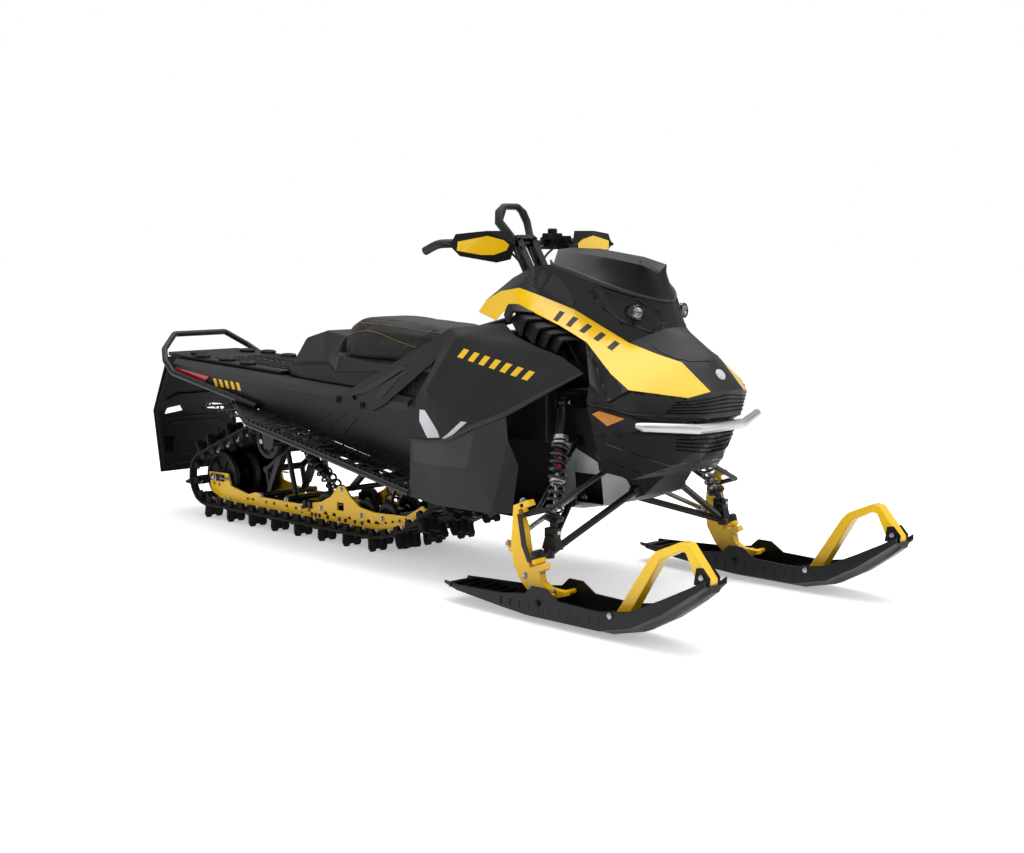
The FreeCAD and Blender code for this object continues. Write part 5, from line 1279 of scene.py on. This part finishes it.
# Slatted grilles: the four corners of each right-hand half, and its number of slats
grilles = {
    "intake": {"corners": [(1205, -158, 642), (1262, 0, 662), (1252, 0, 598), (1150, -168, 600)], "slats": 5,
               "skins": ("nose_grille", "corner_panels")},
    "belly": {"corners": [(1178, -134, 540), (1226, 0, 540), (1184, 0, 466), (1166, -124, 486)], "slats": 5,
              "skins": ("belly_pan",)},
}


def makeGrilles():
    for name, spec in grilles.items():
        topOut, topIn, lowIn, lowOut = [at(*corner) for corner in spec["corners"]]
        trees = [skins[skin] for skin in spec["skins"]]

        def onSkin(point):
            # first panel met from ahead
            found = [tree.ray_cast(point + Vector((0.3, 0, 0)), Vector((-1, 0, 0))) for tree in trees]
            hits = [hit for hit in found if hit[0]] or [trees[0].find_nearest(point)]
            place, normal = min(hits, key=lambda hit: hit[3])[:2]
            return place, normal if normal.x > 0 else -normal

        def slats(b):
            for number in range(spec["slats"]):
                share = (number + 0.5) / spec["slats"]
                start, end = topOut.lerp(lowOut, share), topIn.lerp(lowIn, share)
                tall = (topOut - lowOut).length / spec["slats"] * 0.4
                stations = [onSkin(start.lerp(end, i / 14)) for i in range(15)]
                rings = []
                for place, normal in stations:
                    up = upward * tall
                    rings.append([b.verts.new(place + normal * out * mm + up * rise)
                                  for out, rise in ((-1, -0.5), (4.5, -0.15), (4.5, 0.15), (-1, 0.5))])
                addRings(b, rings)
            bmesh.ops.recalc_face_normals(b, faces=b.faces)
        bothSides(name + "_slats", slats, "black_plastic", degrees=30)

        # near-black sheet on the panel behind the slats: painted shade of the opening
        def bed(b):
            outline = [tuple(corner / mm) for corner in (topOut, topIn, lowIn, lowOut)]
            addPatch(b, trees[0], outline, 0.05, 0.5)
        bothSides(name + "_bed", bed, "black_plastic", materials=("dark inlay",))


makeGrilles()

# Front bumper: flattened six-sided bar on two pads
noseBar = {"path": [(1150, -288, 576), (1166, -276, 572), (1243, -108, 559), (1243, 108, 559),
                    (1166, 276, 572), (1150, 288, 576)],
           "tall": [7, 13, 15, 15, 13, 7], "deep": 9}


def makeNoseBar():
    b = bmesh.new()
    rings = []
    points = [at(*point) for point in noseBar["path"]]
    for i, point in enumerate(points):
        ahead = (points[min(i + 1, 5)] - points[max(i - 1, 0)]).normalized()
        out = ahead.cross(upward).normalized()
        if out.x < 0:
            out = -out
        tall, deep = noseBar["tall"][i] * mm, noseBar["deep"] * mm
        ring = [(-1, -1), (0.35, -1), (1, -0.45), (1, 0.3), (0.1, 1), (-1, 1)]
        rings.append([b.verts.new(point + out * deep * o + upward * tall * u) for o, u in ring])
    addRings(b, rings)
    for side in (-1, 1):
        addTurned(b, [(0, 7), (20, 7)], at(1217.5, side * 60, 559), forward, 16)
    bmesh.ops.recalc_face_normals(b, faces=b.faces)
    bmesh.ops.bevel(b, geom=[e for e in b.edges if e.calc_face_angle(0) > math.radians(20)], offset=1.5 * mm,
                    offset_type="OFFSET", segments=2, profile=0.5, affect="EDGES", clamp_overlap=True)
    built("nose_bar", b, "silver_metal", "chassis", ("front_bumper",), degrees=40)


makeNoseBar()
print("front details made")


# Rails: foot flange, small square and round holes given as dark plates on the surface (painted shade of the
# openings), axle adjusters and bolts

rail = {"outer": -132, "foot": 70.8,
        "flange": [(-1196, 79), (-1120, 71.5), (-230, 71.5), (-140, 87), (-40, 110), (50, 164)],
        "squares": [(-599, 84), (-576, 84), (-552, 84), (-504, 84), (-434, 85), (-399, 85), (-344, 86),
                    (-303, 87)],
        "dots": [(-1010, 96), (-890, 96), (-700, 96), (-660, 84), (-210, 96), (-172, 104), (-134, 112),
                 (-96, 121), (-60, 130)],
        "bolts": [(-1128, 82), (-922, 118), (-760, 122), (-424, 196), (-310, 114), (-545, 114), (-190, 116),
                  (10, 150)]}


def makeRailDetails():
    def flange(b):
        rings = []
        for x, z in rail["flange"]:
            y = rail["outer"]
            rings.append([b.verts.new(at(x, y + 0.2, z)), b.verts.new(at(x, y - 3, z + 1)),
                          b.verts.new(at(x, y - 3, z + 17)), b.verts.new(at(x, y + 0.2, z + 20))])
        addRings(b, rings)
        bmesh.ops.recalc_face_normals(b, faces=b.faces)
    bothSides("rail_flanges", flange, "yellow_metal", degrees=20)

    # no openings: near-black plates on the rail face, painted shade where the holes are
    def holes(b):
        for x, z in rail["squares"]:
            y = rail["outer"] - 3.2
            outline = [at(x + dx, y, z + dz) for dx, dz in ((-8, -4), (-6, -7), (6, -7), (8, -4), (8, 4),
                                                            (6, 7), (-6, 7), (-8, 4))]
            addPrism(b, outline, across, 0.8)
        for x, z in rail["dots"]:
            addTurned(b, [(0, 4.5), (1.5, 4.5)], at(x, rail["outer"] - 3.6, z), across, 14)
    bothSides("rail_holes", holes, "yellow_metal", materials=("dark inlay",))

    def fittings(b):        # 0 black blocks, 1 steel bolts
        for x, z in rail["bolts"]:
            addBolt(b, at(x, rail["outer"] - 1, z), -across, 6.5, 1)
        y = rail["outer"] - 5
        addPrism(b, outlineAt(y, ((-1254, 146), (-1254, 172), (-1172, 172), (-1172, 146))), across, 9)
        addPrism(b, outlineAt(y - 5, ((-1236, 150), (-1236, 170), (-1206, 170), (-1206, 150))), across, 6)
        addBolt(b, at(-1222, y - 7, 160), -across, 9, 1)
        addTurned(b, [(0, 4), (66, 4)], at(-1180, y - 6, 160), forward, 10, 1)
        for x in (-640, -610):
            addBlock(b, at(x, y, 118), [forward, upward, -across], (22, 30, 10), 0, 0.8)
        addTurned(b, [(0, 6), (22, 6), (24, 4)], at(-640, y + 2, 106), -across, 16, 1)
        for x, z in ((-5, 128), (22, 158)):
            addTurned(b, [(0, 9), (10, 9), (14, 5)], at(x, rail["outer"], z), -across, 18, 0)
    bothSides("rail_fittings", fittings, "black_metal", materials=("black_metal", "bare_steel"))


makeRailDetails()

# Tunnel: pressed slashes in the side (each ringed by a dark band of painted shade), rivet rows, shoulder
# strip (a real chamfer coloured lighter than the tunnel: painted highlight), deck pucks and ribs
slashes = [[(-425, 499), (-521, 457), (-450, 446), (-344, 497)],
           [(-333, 499), (-438, 446), (-369, 436), (-253, 504)],
           [(-242, 499), (-334, 433), (-289, 418), (-205, 488)]]
pucks = [(-1262, 160), (-957, 160), (-1110, 150), (-1352, 120)]
puckProfile = [(0, 30), (4, 33), (9, 31), (12, 24), (12.5, 9), (8, 8), (8, 0)]
deckRib = [(0, -136, 15.4), (20, -136, 14.8), (26, -14, 14.8),
           (6, -14, 15.4)]      # along, across, above the tunnel


def tunnelTop(x):
    return 632 - (x + 1391) * math.tan(math.radians(2.2))


def boardHeight(x):
    return 442 - (x + 655) * math.tan(math.radians(9.8))


def makeTunnelDetails():
    # each slash is a raised plate in the tunnel's colour on a larger near-black plate; the dark band round it
    # is painted shade of the pressing
    def pressed(b):
        for corners in slashes:
            outer = outlineAt(-225.2, corners)
            middle = sum(outer, Vector()) / 4
            addPrism(b, outer, across, 1.4, 0)
            addPrism(b, [point.lerp(middle, 0.18) - across * 1.4 * mm for point in outer], across, 2.2, 1)
    bothSides("tunnel_slashes", pressed, "dark_aluminium", materials=("dark inlay", "dark_aluminium"),
              degrees=20)

    # chamfered strip along the top of the tunnel side; its mid grey, lighter than the tunnel, is a painted
    # highlight on the chamfer
    def shoulder(b):
        rings = []
        for x in (-1380, -1100, -800, -500, -200, 60):
            top = tunnelTop(x)
            rings.append([b.verts.new(at(x, -207, top - 1)), b.verts.new(at(x, -226.2, top - 19)),
                          b.verts.new(at(x, -226.2, top - 46)), b.verts.new(at(x, -224.8, top - 47))])
        addRings(b, rings)
        bmesh.ops.recalc_face_normals(b, faces=b.faces)
    bothSides("tunnel_shoulders", shoulder, "dark_aluminium", materials=("printed film, mid grey",),
              degrees=25)

    b = bmesh.new()
    addTurned(b, [(0, 4.5), (0.8, 4.5), (2.2, 3), (2.6, 0)], Vector((0, 0, 0)), -across, 10)
    head = rawMesh(b, "rivet")
    rows = []
    for side in (-1, 1):
        for start, end, count in (((-940, 0), (180, 0), 20), ((-910, 12), (100, 12), 12)):
            line = [at(x, side * 225, boardHeight(x) + 26 + lift) for x, lift in (start, end)]
            piece = head.copy()
            if side > 0:
                piece.transform(Matrix.Rotation(math.pi, 4, "X"))
            rows.append(rowOf("rivets", line, piece, count, "bare_steel"))
    gathered("tunnel_rivets", rows, "bare_steel", "chassis", materials=("black_metal",))

    def deck(b):
        for x, y in pucks:
            addTurned(b, puckProfile, at(x, -y, tunnelTop(x) + 14.5), Vector((0.04, 0, 1)), 28)
            addTube(b, [at(x - 42, -y, tunnelTop(x) + 17), at(x + 42, -y, tunnelTop(x) + 15.5)], 9, 12, 0,
                    0.6)
        for x in range(-1210, -720, 42):
            addPrism(b, [at(x + along, y, tunnelTop(x) + rise) for along, y, rise in deckRib], upward, 3.4)
        addTube(b, [at(-1380, -186, tunnelTop(-1380) + 8), at(-706, -186, tunnelTop(-706) + 8)], 6, 10)
    bothSides("deck_pucks_and_ribs", deck, "black_plastic")

    def boards(b):          # teeth along the edge, and cross bars
        for number in range(44):
            x = -930 + number * 26.5
            z = boardHeight(x)
            for y, tall in ((-372, 15), (-262, 11)):
                tooth = [(x, z + 3), (x + 4, z + tall), (x + 9, z + tall), (x + 13, z + 3)]
                addPrism(b, outlineAt(y, tooth), across, 3)
        for number in range(15):
            x = -925 + number * 80
            z = boardHeight(x)
            addTube(b, [at(x, -232, z + 3), at(x + 22, -300, z - 2), at(x, -378, z - 2)], 4.5, 8)
    bothSides("board_teeth", boards, "dark_aluminium", degrees=25)


makeTunnelDetails()


def makeTailSlashes():
    def bars(b):
        for number in range(5):
            x = -1098 + number * 38
            top = tunnelTop(x) - 50
            bar = [(x, top), (x + 20, top - 1), (x + 34, top - 31), (x + 14, top - 30)]
            addPrism(b, outlineAt(-225.4, bar), across, 0.8)
    bothSides("tail_slashes", bars, "grey_plastic", materials=("printed film, yellow",))


makeTailSlashes()

# Snow flap: raised frame and creases, in the plane of the flap
flap = {
    "top": (-1462, 600), "fold": (-1572, 408), "foot": (-1527, 156),     # x, z
    "ribs": [[(-186, 590), (-190, 414), (-186, 172)], [(-150, 330), (-120, 352), (0, 352)],     # y, z
             [(-186, 172), (-120, 186), (0, 186)], [(-160, 372), (0, 372)],
             [(-150, 448), (-110, 470), (0, 470)], [(-108, 312), (-108, 222), (0, 222)]],
}


def makeFlapDetails():
    def onFlap(y, z):
        endX, endZ = flap["top"] if z > flap["fold"][1] else flap["foot"]
        foldX, foldZ = flap["fold"]
        return at(foldX + (endX - foldX) * (z - foldZ) / (endZ - foldZ), y, z)

    def frame(b):
        for line in flap["ribs"]:
            addTube(b, [onFlap(y, z) + Vector((-3, 0, 0)) * mm for y, z in line], 4, 8)
            addTube(b, [onFlap(y, z) + Vector((5, 0, 0)) * mm for y, z in line], 4, 8)
    bothSides("flap_ribs", frame, "black_plastic")


makeFlapDetails()
print("rear details made")

# Struts beside the seat: bolts, and flat dark sheets where the groove and the pocket are, as painted shade
strut = {"bolts": [(-308, 545), (-174, 534)], "groove_painted_shade": [(-246, 571), (-140, 604), (60, 690), (70, 682),
                                                         (-120, 590), (-232, 562)],
         "pocket_painted_shade": [(-96, 566), (-64, 566), (30, 642), (86, 668), (52, 668), (-60, 610)]}


def makeStrutDetails():
    def parts(b):           # 0 black bolt heads, 1 near-black sheets: painted shade in the groove and the pocket
        for x, z in strut["bolts"]:
            addTurned(b, [(0, 13), (3, 13), (4, 11.5)], at(x, -237, z), -across, 24, 0)
            addTurned(b, [(4, 9.5), (10, 9.5), (11, 8)], at(x, -237, z), -across, 6, 0)
        for name in ("groove_painted_shade", "pocket_painted_shade"):
            addPrism(b, outlineAt(-236.9, strut[name]), across, 1.2, 1)
    bothSides("strut_details", parts, "black_metal", materials=("black_metal", "dark inlay"))


makeStrutDetails()

# Steering: grips, levers, clamps, switch blocks and hoses, which all turn with the bar
columnRake = math.radians(32)
steerTilt = Vector((-math.sin(columnRake), 0, math.cos(columnRake)))
barShape = {
    "hook": [(353, -400, 1078), (388, -398, 1092), (412, -393, 1100), (424, -372, 1102), (426, -342, 1102)],
    "lever": [(416, -170, 1094), (446, -196, 1090), (456, -262, 1086), (448, -322, 1082)],
    # centre, sizes and taper of the thumb block, the reservoir and the key switch
    "blocks": [((402, 176, 1104), (44, 60, 42), 0.82), ((410, 120, 1124), (34, 70, 20), 0.9),
               ((404, -170, 1106), (40, 44, 38), 0.85)],
    "display": ((388, 0, 1112), (46, 96, 16), 0.85),
    "hoses": [(-20, 30), (14, 22), (48, 34), (-52, 26)],     # distance across, and start ahead of the bar
    "guard": [(454, -352, 1108), (478, -246, 1126), (486, -182, 1112), (486, -160, 1098), (482, -168, 1080),
              (472, -214, 1066), (464, -262, 1066), (450, -354, 1080)],
}


def makeBarDetails():
    def grips(b):
        start, end = at(425, -338, 1101.5), at(402, -206, 1100)
        line = [start.lerp(end, i / 24) for i in range(25)]
        addTube(b, line, [16 + (1.6 if i % 2 else 0) for i in range(25)], 16)
        addTube(b, smoothLine([at(*point) for point in barShape["hook"]], 5), 14, 14)
    bothSides("bar_grips", grips, "black_plastic", "handlebar", materials=("grip rubber",))

    def levers(b):
        addTube(b, smoothLine([at(*point) for point in barShape["lever"]], 5), 5.5, 10, 0, 0.6)
        addTube(b, [at(400, -166, 1100), at(424, -168, 1096)], 9, 12)
        addTurned(b, [(0, 17), (26, 17)], at(400, -174, 1100), Vector((0.1, 1, 0)), 20)
        addBlock(b, at(412, -172, 1084), squareAxes, (26, 24, 20), 0, 0.85)
    bothSides("bar_levers", levers, "black_metal", "handlebar")

    def clamps(b):
        addTurned(b, [(0, 19), (26, 19)], at(398, -47, 1100), across, 20)
        for x in (382, 414):
            addBolt(b, at(x, -34, 1119), upward, 4)
        base = at(398, -34, 1100)
        for reach in (0.32, 0.66):
            addTurned(b, [(0, 17), (12, 17)], base - steerTilt * 150 * reach * mm, -steerTilt, 20)
        addPrism(b, [base + steerTilt * 6 * mm + Vector((0, dy, 0)) * mm for dy in (-13, 13)] +
                 [base - steerTilt * 140 * mm + Vector((0, dy, 0)) * mm for dy in (13, -13)],
                 Vector((0.85, 0, 0.5)), 34)
    bothSides("bar_clamps", clamps, "black_metal", "handlebar", degrees=30)

    b = bmesh.new()
    for centre, blockSizes, taper in barShape["blocks"]:
        addBlock(b, at(*centre), squareAxes, blockSizes, 0, taper)
    addTurned(b, [(0, 16), (20, 16), (24, 13)], at(412, 118, 1126), upward, 24)     # the reservoir's cap
    centre, blockSizes, taper = barShape["display"]
    addBlock(b, at(*centre), [Vector((0.85, 0, 0.5)), across, Vector((-0.5, 0, 0.85))], blockSizes, 0, taper)
    for y, start in barShape["hoses"]:
        line = [at(398 + start, y * 2.4, 1092), at(430, y * 1.3, 1052), at(452, y, 1012),
                at(480, y * 0.9, 968)]
        addTube(b, smoothLine(line, 6), 4, 8)
    built("bar_switches_and_hoses", b, "black_plastic", "handlebar")

    def film(b):
        addPatch(b, skins["hand_guards"], barShape["guard"], 0.2, 2.0, cell=12)
    bothSides("guard_panels", film, "yellow_plastic", "handlebar", materials=("yellow_plastic",))

    def frame(b):
        addTube(b, [at(448, -376, 1096), at(428, -392, 1098), at(414, -394, 1100)], 6, 10)
    bothSides("guard_stays", frame, "black_plastic", "handlebar")


makeBarDetails()
print("handlebar details made")

# Suspension fittings: ball joints, nuts and bolts; those on spindles and skis turn with them
# ribs across each ski: count, first x, step, half width, lean; foot's and top's height, first and by step
skiRibs = [(9, 1090, 34, 70, 6, (30, 4), (44, 4.5)), (8, 600, 38, 66, 4, (48, -3), (60, -2.4))]
skiMiddle = -460


def onEachLeg(name, makeRight, materials):
    # the right-hand piece and its mirror image, each on its own ski leg; the first material is its slot
    for side, leg in ((1, "right"), (-1, "left")):
        b = bmesh.new()
        makeRight(b)
        if side < 0:
            bmesh.ops.scale(b, vec=(1, -1, 1), verts=b.verts)
        built(name + "_" + leg, b, materials[0], "ski_leg_" + leg, materials=materials)


def makeFrontFittings():
    casterAngle = math.radians(21)
    caster = Vector((-math.sin(casterAngle), 0, math.cos(casterAngle)))
    low = at(921, skiMiddle, 176)
    top = low + caster * 150 * mm

    def onArms(b):
        addTurned(b, [(-20, 15), (-10, 21), (16, 21), (22, 15)], low, caster, 28, 0)
        for y, x, z in ((-262, 835, 622), (-400, 922, 246)):
            for side in (-1, 1):
                addBolt(b, at(x + side * 20, y, z), Vector((side, 0, 0)), 7, 1)
        for x, z in ((770, 300), (985, 345), (868, 430)):
            addBolt(b, at(x, -100, z), -across, 8, 1)
        addBlock(b, at(922, -400, 214), squareAxes, (58, 34, 40), 0, 0.7)
    bothSides("arm_fittings", onArms, "black_metal", materials=("black_metal", "bare_steel"))

    def onSpindle(b):       # 0 yellow bosses, 1 steel, 2 black
        addTurned(b, [(-26, 16), (-22, 22), (-10, 22), (-6, 17)], low + caster * 5 * mm, caster, 28, 0)
        addBolt(b, low - caster * 40 * mm, -caster, 10, 1)
        addBolt(b, top + caster * 24 * mm, caster, 9, 1)
        addTurned(b, [(0, 15), (10, 15), (14, 10)], top + caster * 6 * mm, caster, 24, 2)
        addBolt(b, at(826, -446, 196), Vector((-1, 0.2, 0)), 8, 1)
        addTurned(b, [(0, 7), (34, 7), (38, 4)], at(818, -452, 205), Vector((-1, 0.1, -0.1)), 18, 1)
        addPrism(b, outlineAt(-473.6, ((846, 300), (866, 300), (884, 214), (906, 160), (890, 158),
                                       (864, 206))), across, 2, 2)
        for x, z in ((880, 118), (1000, 84), (905, 82)):
            addBolt(b, at(x, -474, z), -across, 6.5, 1)
    onEachLeg("spindle_fittings", onSpindle, ("yellow_metal", "bare_steel", "black_metal"))

    def onSki(b):           # 0 plastic ribs, 1 steel wear bar and bolt, 2 black bracket
        for count, firstX, step, half, lean, foot, top in skiRibs:
            for number in range(count):
                x = firstX + number * step
                outer, inner = skiMiddle - half, skiMiddle + half
                low, high = foot[0] + number * foot[1], top[0] + number * top[1]
                addPrism(b, [at(x, outer, low), at(x, inner, low), at(x + lean, inner, high),
                             at(x + lean, outer, high)],
                         forward, 5, 0)
        addTube(b, smoothLine([at(700, -460, 26), at(860, -460, 9), at(1180, -460, 9), at(1300, -460, 22)],
                              4), 5, 8, 1)
        for y in (-536, -384):
            addTurned(b, [(0, 14), (5, 14), (6, 12)], at(1000, y, 62), across * (1 if y > skiMiddle else -1),
                      24, 2)
            addTurned(b, [(5, 9), (13, 9), (14, 7)], at(1000, y, 62), across * (1 if y > skiMiddle else -1),
                      6, 2)
        for y in (-481, -439):
            addPrism(b, outlineAt(y, ((1536, 190), (1544, 236), (1566, 240), (1592, 214), (1590, 192))),
                     across, 4, 2)
            addTurned(b, [(0, 9), (3, 9), (4, 7), (4.4, 3)], at(1564, y + (-3 if y < skiMiddle else 3), 212),
                      across * (1 if y > skiMiddle else -1), 22, 1)
        for y, out in ((-543, -1), (-377, 1)):
            addTurned(b, [(-1, 9), (3, 9), (4, 7), (4.4, 3)], at(1285, y, 72), across * out, 22, 1)
            for number in range(11):
                x = 840 + number * 40
                addTube(b, [at(x, y - out * 1.5, 36), at(x + 2, y - out * 1.5, 58)], 2.6, 6, 0)
    onEachLeg("ski_fittings", onSki, ("ski_plastic", "bare_steel", "black_plastic"))


makeFrontFittings()
print("suspension fittings made")


# Seat cushion: cover pulled tight over its foam

cushion = {"cell": 6, "rounding": 15, "slack": 0.985, "pressure": 4, "frames": 20, "mostMovement": 6,
           "foot": 700}
stitchLines = {
    "upper": [(-380, -128, 782), (-330, -124, 815), (-240, -124, 818), (-90, -124, 812), (60, -126, 800),
              (140, -112, 786)],
    "diagonal": [(-372, -140, 770), (-250, -143, 790), (-120, -150, 768), (20, -153, 742)],
}


def makeCushion():
    thing = rounded("seat_cushion", cushion["rounding"], 3)
    low = Vector(min(v.co[i] for v in thing.data.vertices) for i in range(3))
    high = Vector(max(v.co[i] for v in thing.data.vertices) for i in range(3))
    middle = (low + high) / 2
    for v in thing.data.vertices:
        v.co = middle + (v.co - middle) * cushion["slack"]
    cells = thing.modifiers.new("cells", "REMESH")
    cells.mode = "VOXEL"
    cells.voxel_size = cushion["cell"] * mm
    thing = frozen(thing)
    start = [v.co.copy() for v in thing.data.vertices]
    held = thing.vertex_groups.new(name="foot")
    held.add([v.index for v in thing.data.vertices if v.co.z < cushion["foot"] * mm], 1, "REPLACE")
    cover = thing.modifiers.new("cover", "CLOTH")
    cover.settings.quality = 6
    cover.settings.mass = 0.3
    cover.settings.tension_stiffness = cover.settings.compression_stiffness = 30
    cover.settings.shear_stiffness = 12
    cover.settings.bending_stiffness = 3
    cover.settings.use_pressure = True
    cover.settings.uniform_pressure_force = cushion["pressure"]
    cover.settings.vertex_group_mass = "foot"
    cover.settings.effector_weights.gravity = 0
    cover.point_cache.frame_start, cover.point_cache.frame_end = 1, cushion["frames"]
    for frameNumber in range(1, cushion["frames"] + 1):
        bpy.context.scene.frame_set(frameNumber)
    thing = frozen(thing)
    bpy.context.scene.frame_set(1)
    for v, before in zip(thing.data.vertices, start):
        step = v.co - before
        if step.length > cushion["mostMovement"] * mm:
            step = step.normalized() * cushion["mostMovement"] * mm
        v.co = Vector(max(low[i] - 0.002, min(high[i] + 0.004, (before + step)[i])) for i in range(3))
        v.co.z = max(v.co.z, low.z)
    ease = thing.modifiers.new("ease", "SMOOTH")
    ease.iterations = 3
    finer = thing.modifiers.new("finer", "SUBSURF")
    finer.levels = finer.render_levels = 1
    thing = frozen(thing)
    thing.name = "cushion_cover"
    smoothed(thing.data, 80)
    fitOut(thing, "seat_vinyl", "chassis", ("seat_cushion",))
    b = bmesh.new()
    b.from_mesh(thing.data)
    skin = BVHTree.FromBMesh(b)
    b.free()

    def seam(b):
        for points in stitchLines.values():
            addLine(b, skin, points, 3.2, 0.35)
    bothSides("cushion_seams", seam, "seat_vinyl", materials=("dark inlay",))
    b = bmesh.new()
    addTube(b, outlineAt(0, [(-2.4, 0), (-1.2, 0.9), (1.2, 0.9), (2.4, 0)]), 0.7, 5)
    stitch = rawMesh(b, "stitch")
    rows = []
    for side in (1, -1):
        for points in stitchLines.values():
            line = smoothLine([at(x, y * side, z) for x, y, z in points], 12)
            spots = [skin.find_nearest(point)[:2] for point in line]
            path = [place + normal * 1.0 * mm for place, normal in spots]
            rows.append(rowOf("stitches", path, stitch.copy(), 90, "seat stitching thread"))
    gathered("cushion_stitches", rows, "seat_vinyl", "chassis", materials=("seat stitching thread",))


makeCushion()
print("cushion made")

reflector = [(999, -313, 601), (1016, -298, 610), (1076, -252, 588), (1035, -284, 565)]


def makeReflectors():
    def lens(b):
        addPatch(b, skins["corner_panels"], reflector, 0.1, 2.6, cell=20)
        middle = [sum(corner[i] for corner in reflector) / 4 for i in range(3)]
        inner = [tuple(corner[i] * 0.72 + middle[i] * 0.28 for i in range(3)) for corner in reflector]
        addPatch(b, skins["corner_panels"], inner, 2.6, 1.2, cell=20)
    bothSides("side_reflectors", lens, "orange_lens", standsFor=("reflectors",))


makeReflectors()


def makeStrapSleeve():
    loop = [(385, -41, 1112), (343, -66, 1172), (334, -56, 1204), (331, -30, 1222)]
    b = bmesh.new()
    points = [at(*point) for point in loop] + [at(x, -y, z) for x, y, z in loop[::-1]]
    addTube(b, points, 15, 8, 0, 0.75)
    built("strap_sleeve", b, "black_plastic", "handlebar", materials=("grip rubber",), degrees=50)


makeStrapSleeve()

# Belly creases, screen scoop


def makeBellyAndScoop():
    def lines(b):
        addLine(b, skins["belly_pan"], [(1010, -290, 520), (1100, -220, 470), (1150, -150, 440),
                                        (1170, -60, 425)], 4, 1.2)
        addLine(b, skins["belly_pan"], [(985, -296, 470), (1080, -210, 420), (1130, -110, 398)], 3, 1.0)
    bothSides("belly_creases", lines, "black_plastic", materials=("gloss_black_plastic",))

    def scoop(b):
        addPatch(b, skins["windshield"], [(906, -34, 1040), (960, -30, 1010), (972, 0, 1004), (910, 0, 1044)],
                 2, 3, cell=12)
    bothSides("screen_scoop", scoop, "black_plastic", materials=("gloss_black_plastic",))


makeBellyAndScoop()


def makeArmPlates():
    # pressed plates boxing in the legs of the rear arm
    def plates(b):
        addPrism(b, outlineAt(-84, ((-940, 126), (-924, 118), (-800, 322), (-832, 332), (-850, 318))), across,
                 20)
        addPrism(b, outlineAt(-96, ((-918, 150), (-904, 148), (-836, 272), (-850, 276))), across, 3)
    bothSides("rear_arm_plates", plates, "black_metal")


makeArmPlates()
print("seat, reflectors and small panels made")


# Stage: pale floor, soft studio light and the camera

def makeStage():
    b = bmesh.new()
    half, sunk = 30, -0.0005        # metres
    corners = [b.verts.new((x * half, y * half, sunk)) for x, y in ((-1, -1), (1, -1), (1, 1), (-1, 1))]
    b.faces.new(corners)
    mesh = rawMesh(b, "floor")
    floor = newObject("floor", mesh)
    material = bpy.data.materials.new("pale studio floor")
    material.use_nodes = True
    tree = material.node_tree
    shader = tree.nodes["Principled BSDF"]
    place = addNode(tree, "ShaderNodeTexCoord")
    mottle = addNode(tree, "ShaderNodeTexNoise", {"Scale": 0.6, "Detail": 2.0},
                     {"Vector": place.outputs["Object"]})
    tone = addNode(tree, "ShaderNodeValToRGB", {}, {"Fac": mottle.outputs["Fac"]})
    tone.color_ramp.elements[0].color = toLinear("#f6f6f6")
    tone.color_ramp.elements[1].color = toLinear("#fafafa")
    tree.links.new(tone.outputs["Color"], shader.inputs["Base Color"])
    shader.inputs["Roughness"].default_value = 0.6
    shader.inputs["Emission Color"].default_value = (1, 1, 1, 1)
    shader.inputs["Emission Strength"].default_value = 0.4
    mesh.materials.append(material)
    world = bpy.data.worlds.new("studio")
    bpy.context.scene.world = world
    world.use_nodes = True
    tree = world.node_tree
    tree.nodes.clear()
    # the walls of the studio glow less than the backdrop the camera sees
    place = addNode(tree, "ShaderNodeTexCoord")
    height = addNode(tree, "ShaderNodeSeparateXYZ", {}, {"Vector": place.outputs["Generated"]})
    walls = addNode(tree, "ShaderNodeValToRGB", {}, {"Fac": height.outputs["Z"]})
    walls.color_ramp.elements[0].color = (0.2, 0.2, 0.21, 1)
    walls.color_ramp.elements[1].color = (0.95, 0.95, 0.96, 1)
    glow = addNode(tree, "ShaderNodeBackground", {"Strength": 1.0}, {"Color": walls.outputs["Color"]})
    backdrop = addNode(tree, "ShaderNodeBackground", {"Color": (1, 1, 1, 1), "Strength": 1.0})
    ray = addNode(tree, "ShaderNodeLightPath")
    seen = addNode(tree, "ShaderNodeMixShader", {}, {0: ray.outputs["Is Camera Ray"],
                                                     1: glow.outputs["Background"],
                                                     2: backdrop.outputs["Background"]})
    addNode(tree, "ShaderNodeOutputWorld", {}, {"Surface": seen.outputs["Shader"]})
    bpy.context.scene.view_settings.view_transform = "Standard"


def addLamp(name, place, target, sizeX, sizeY, power):
    data = bpy.data.lights.new(name, "AREA")
    data.shape = "RECTANGLE"
    data.size, data.size_y = sizeX, sizeY
    data.energy = power
    lamp = bpy.data.objects.new(name, data)
    bpy.context.scene.collection.objects.link(lamp)
    lamp.location = place
    lamp.rotation_euler = (Vector(target) - Vector(place)).to_track_quat("-Z", "Y").to_euler()


studioLamps = {
    # place, target, width, height, watts
    "overhead softbox": ((0.0, 0.8, 4.4), (0, 0, 0.4), 6.0, 4.0, 190),
    "front left softbox": ((5.0, 3.5, 2.8), (0.4, 0, 0.6), 2.5, 2.5, 44),
    "right side softbox": ((-1.5, -5.5, 2.6), (0, 0, 0.6), 4.0, 1.6, 30),
}
cameraView = {"place": (4.402, -3.971, 1.145), "azimuth": 45.66, "elevation": 6.65, "lens": 59.3}


def makeCamera():
    data = bpy.data.cameras.new("camera")
    data.lens = cameraView["lens"]
    data.sensor_width = 36
    camera = bpy.data.objects.new("camera", data)
    bpy.context.scene.collection.objects.link(camera)
    camera.location = cameraView["place"]
    turn, tilt = math.radians(cameraView["azimuth"]), math.radians(cameraView["elevation"])
    camera.rotation_euler = (math.pi / 2 - tilt, 0, turn)
    bpy.context.scene.camera = camera


makeStage()
for name, (place, target, sizeX, sizeY, power) in studioLamps.items():
    addLamp(name, place, target, sizeX, sizeY, power)
makeCamera()
print("stage set")
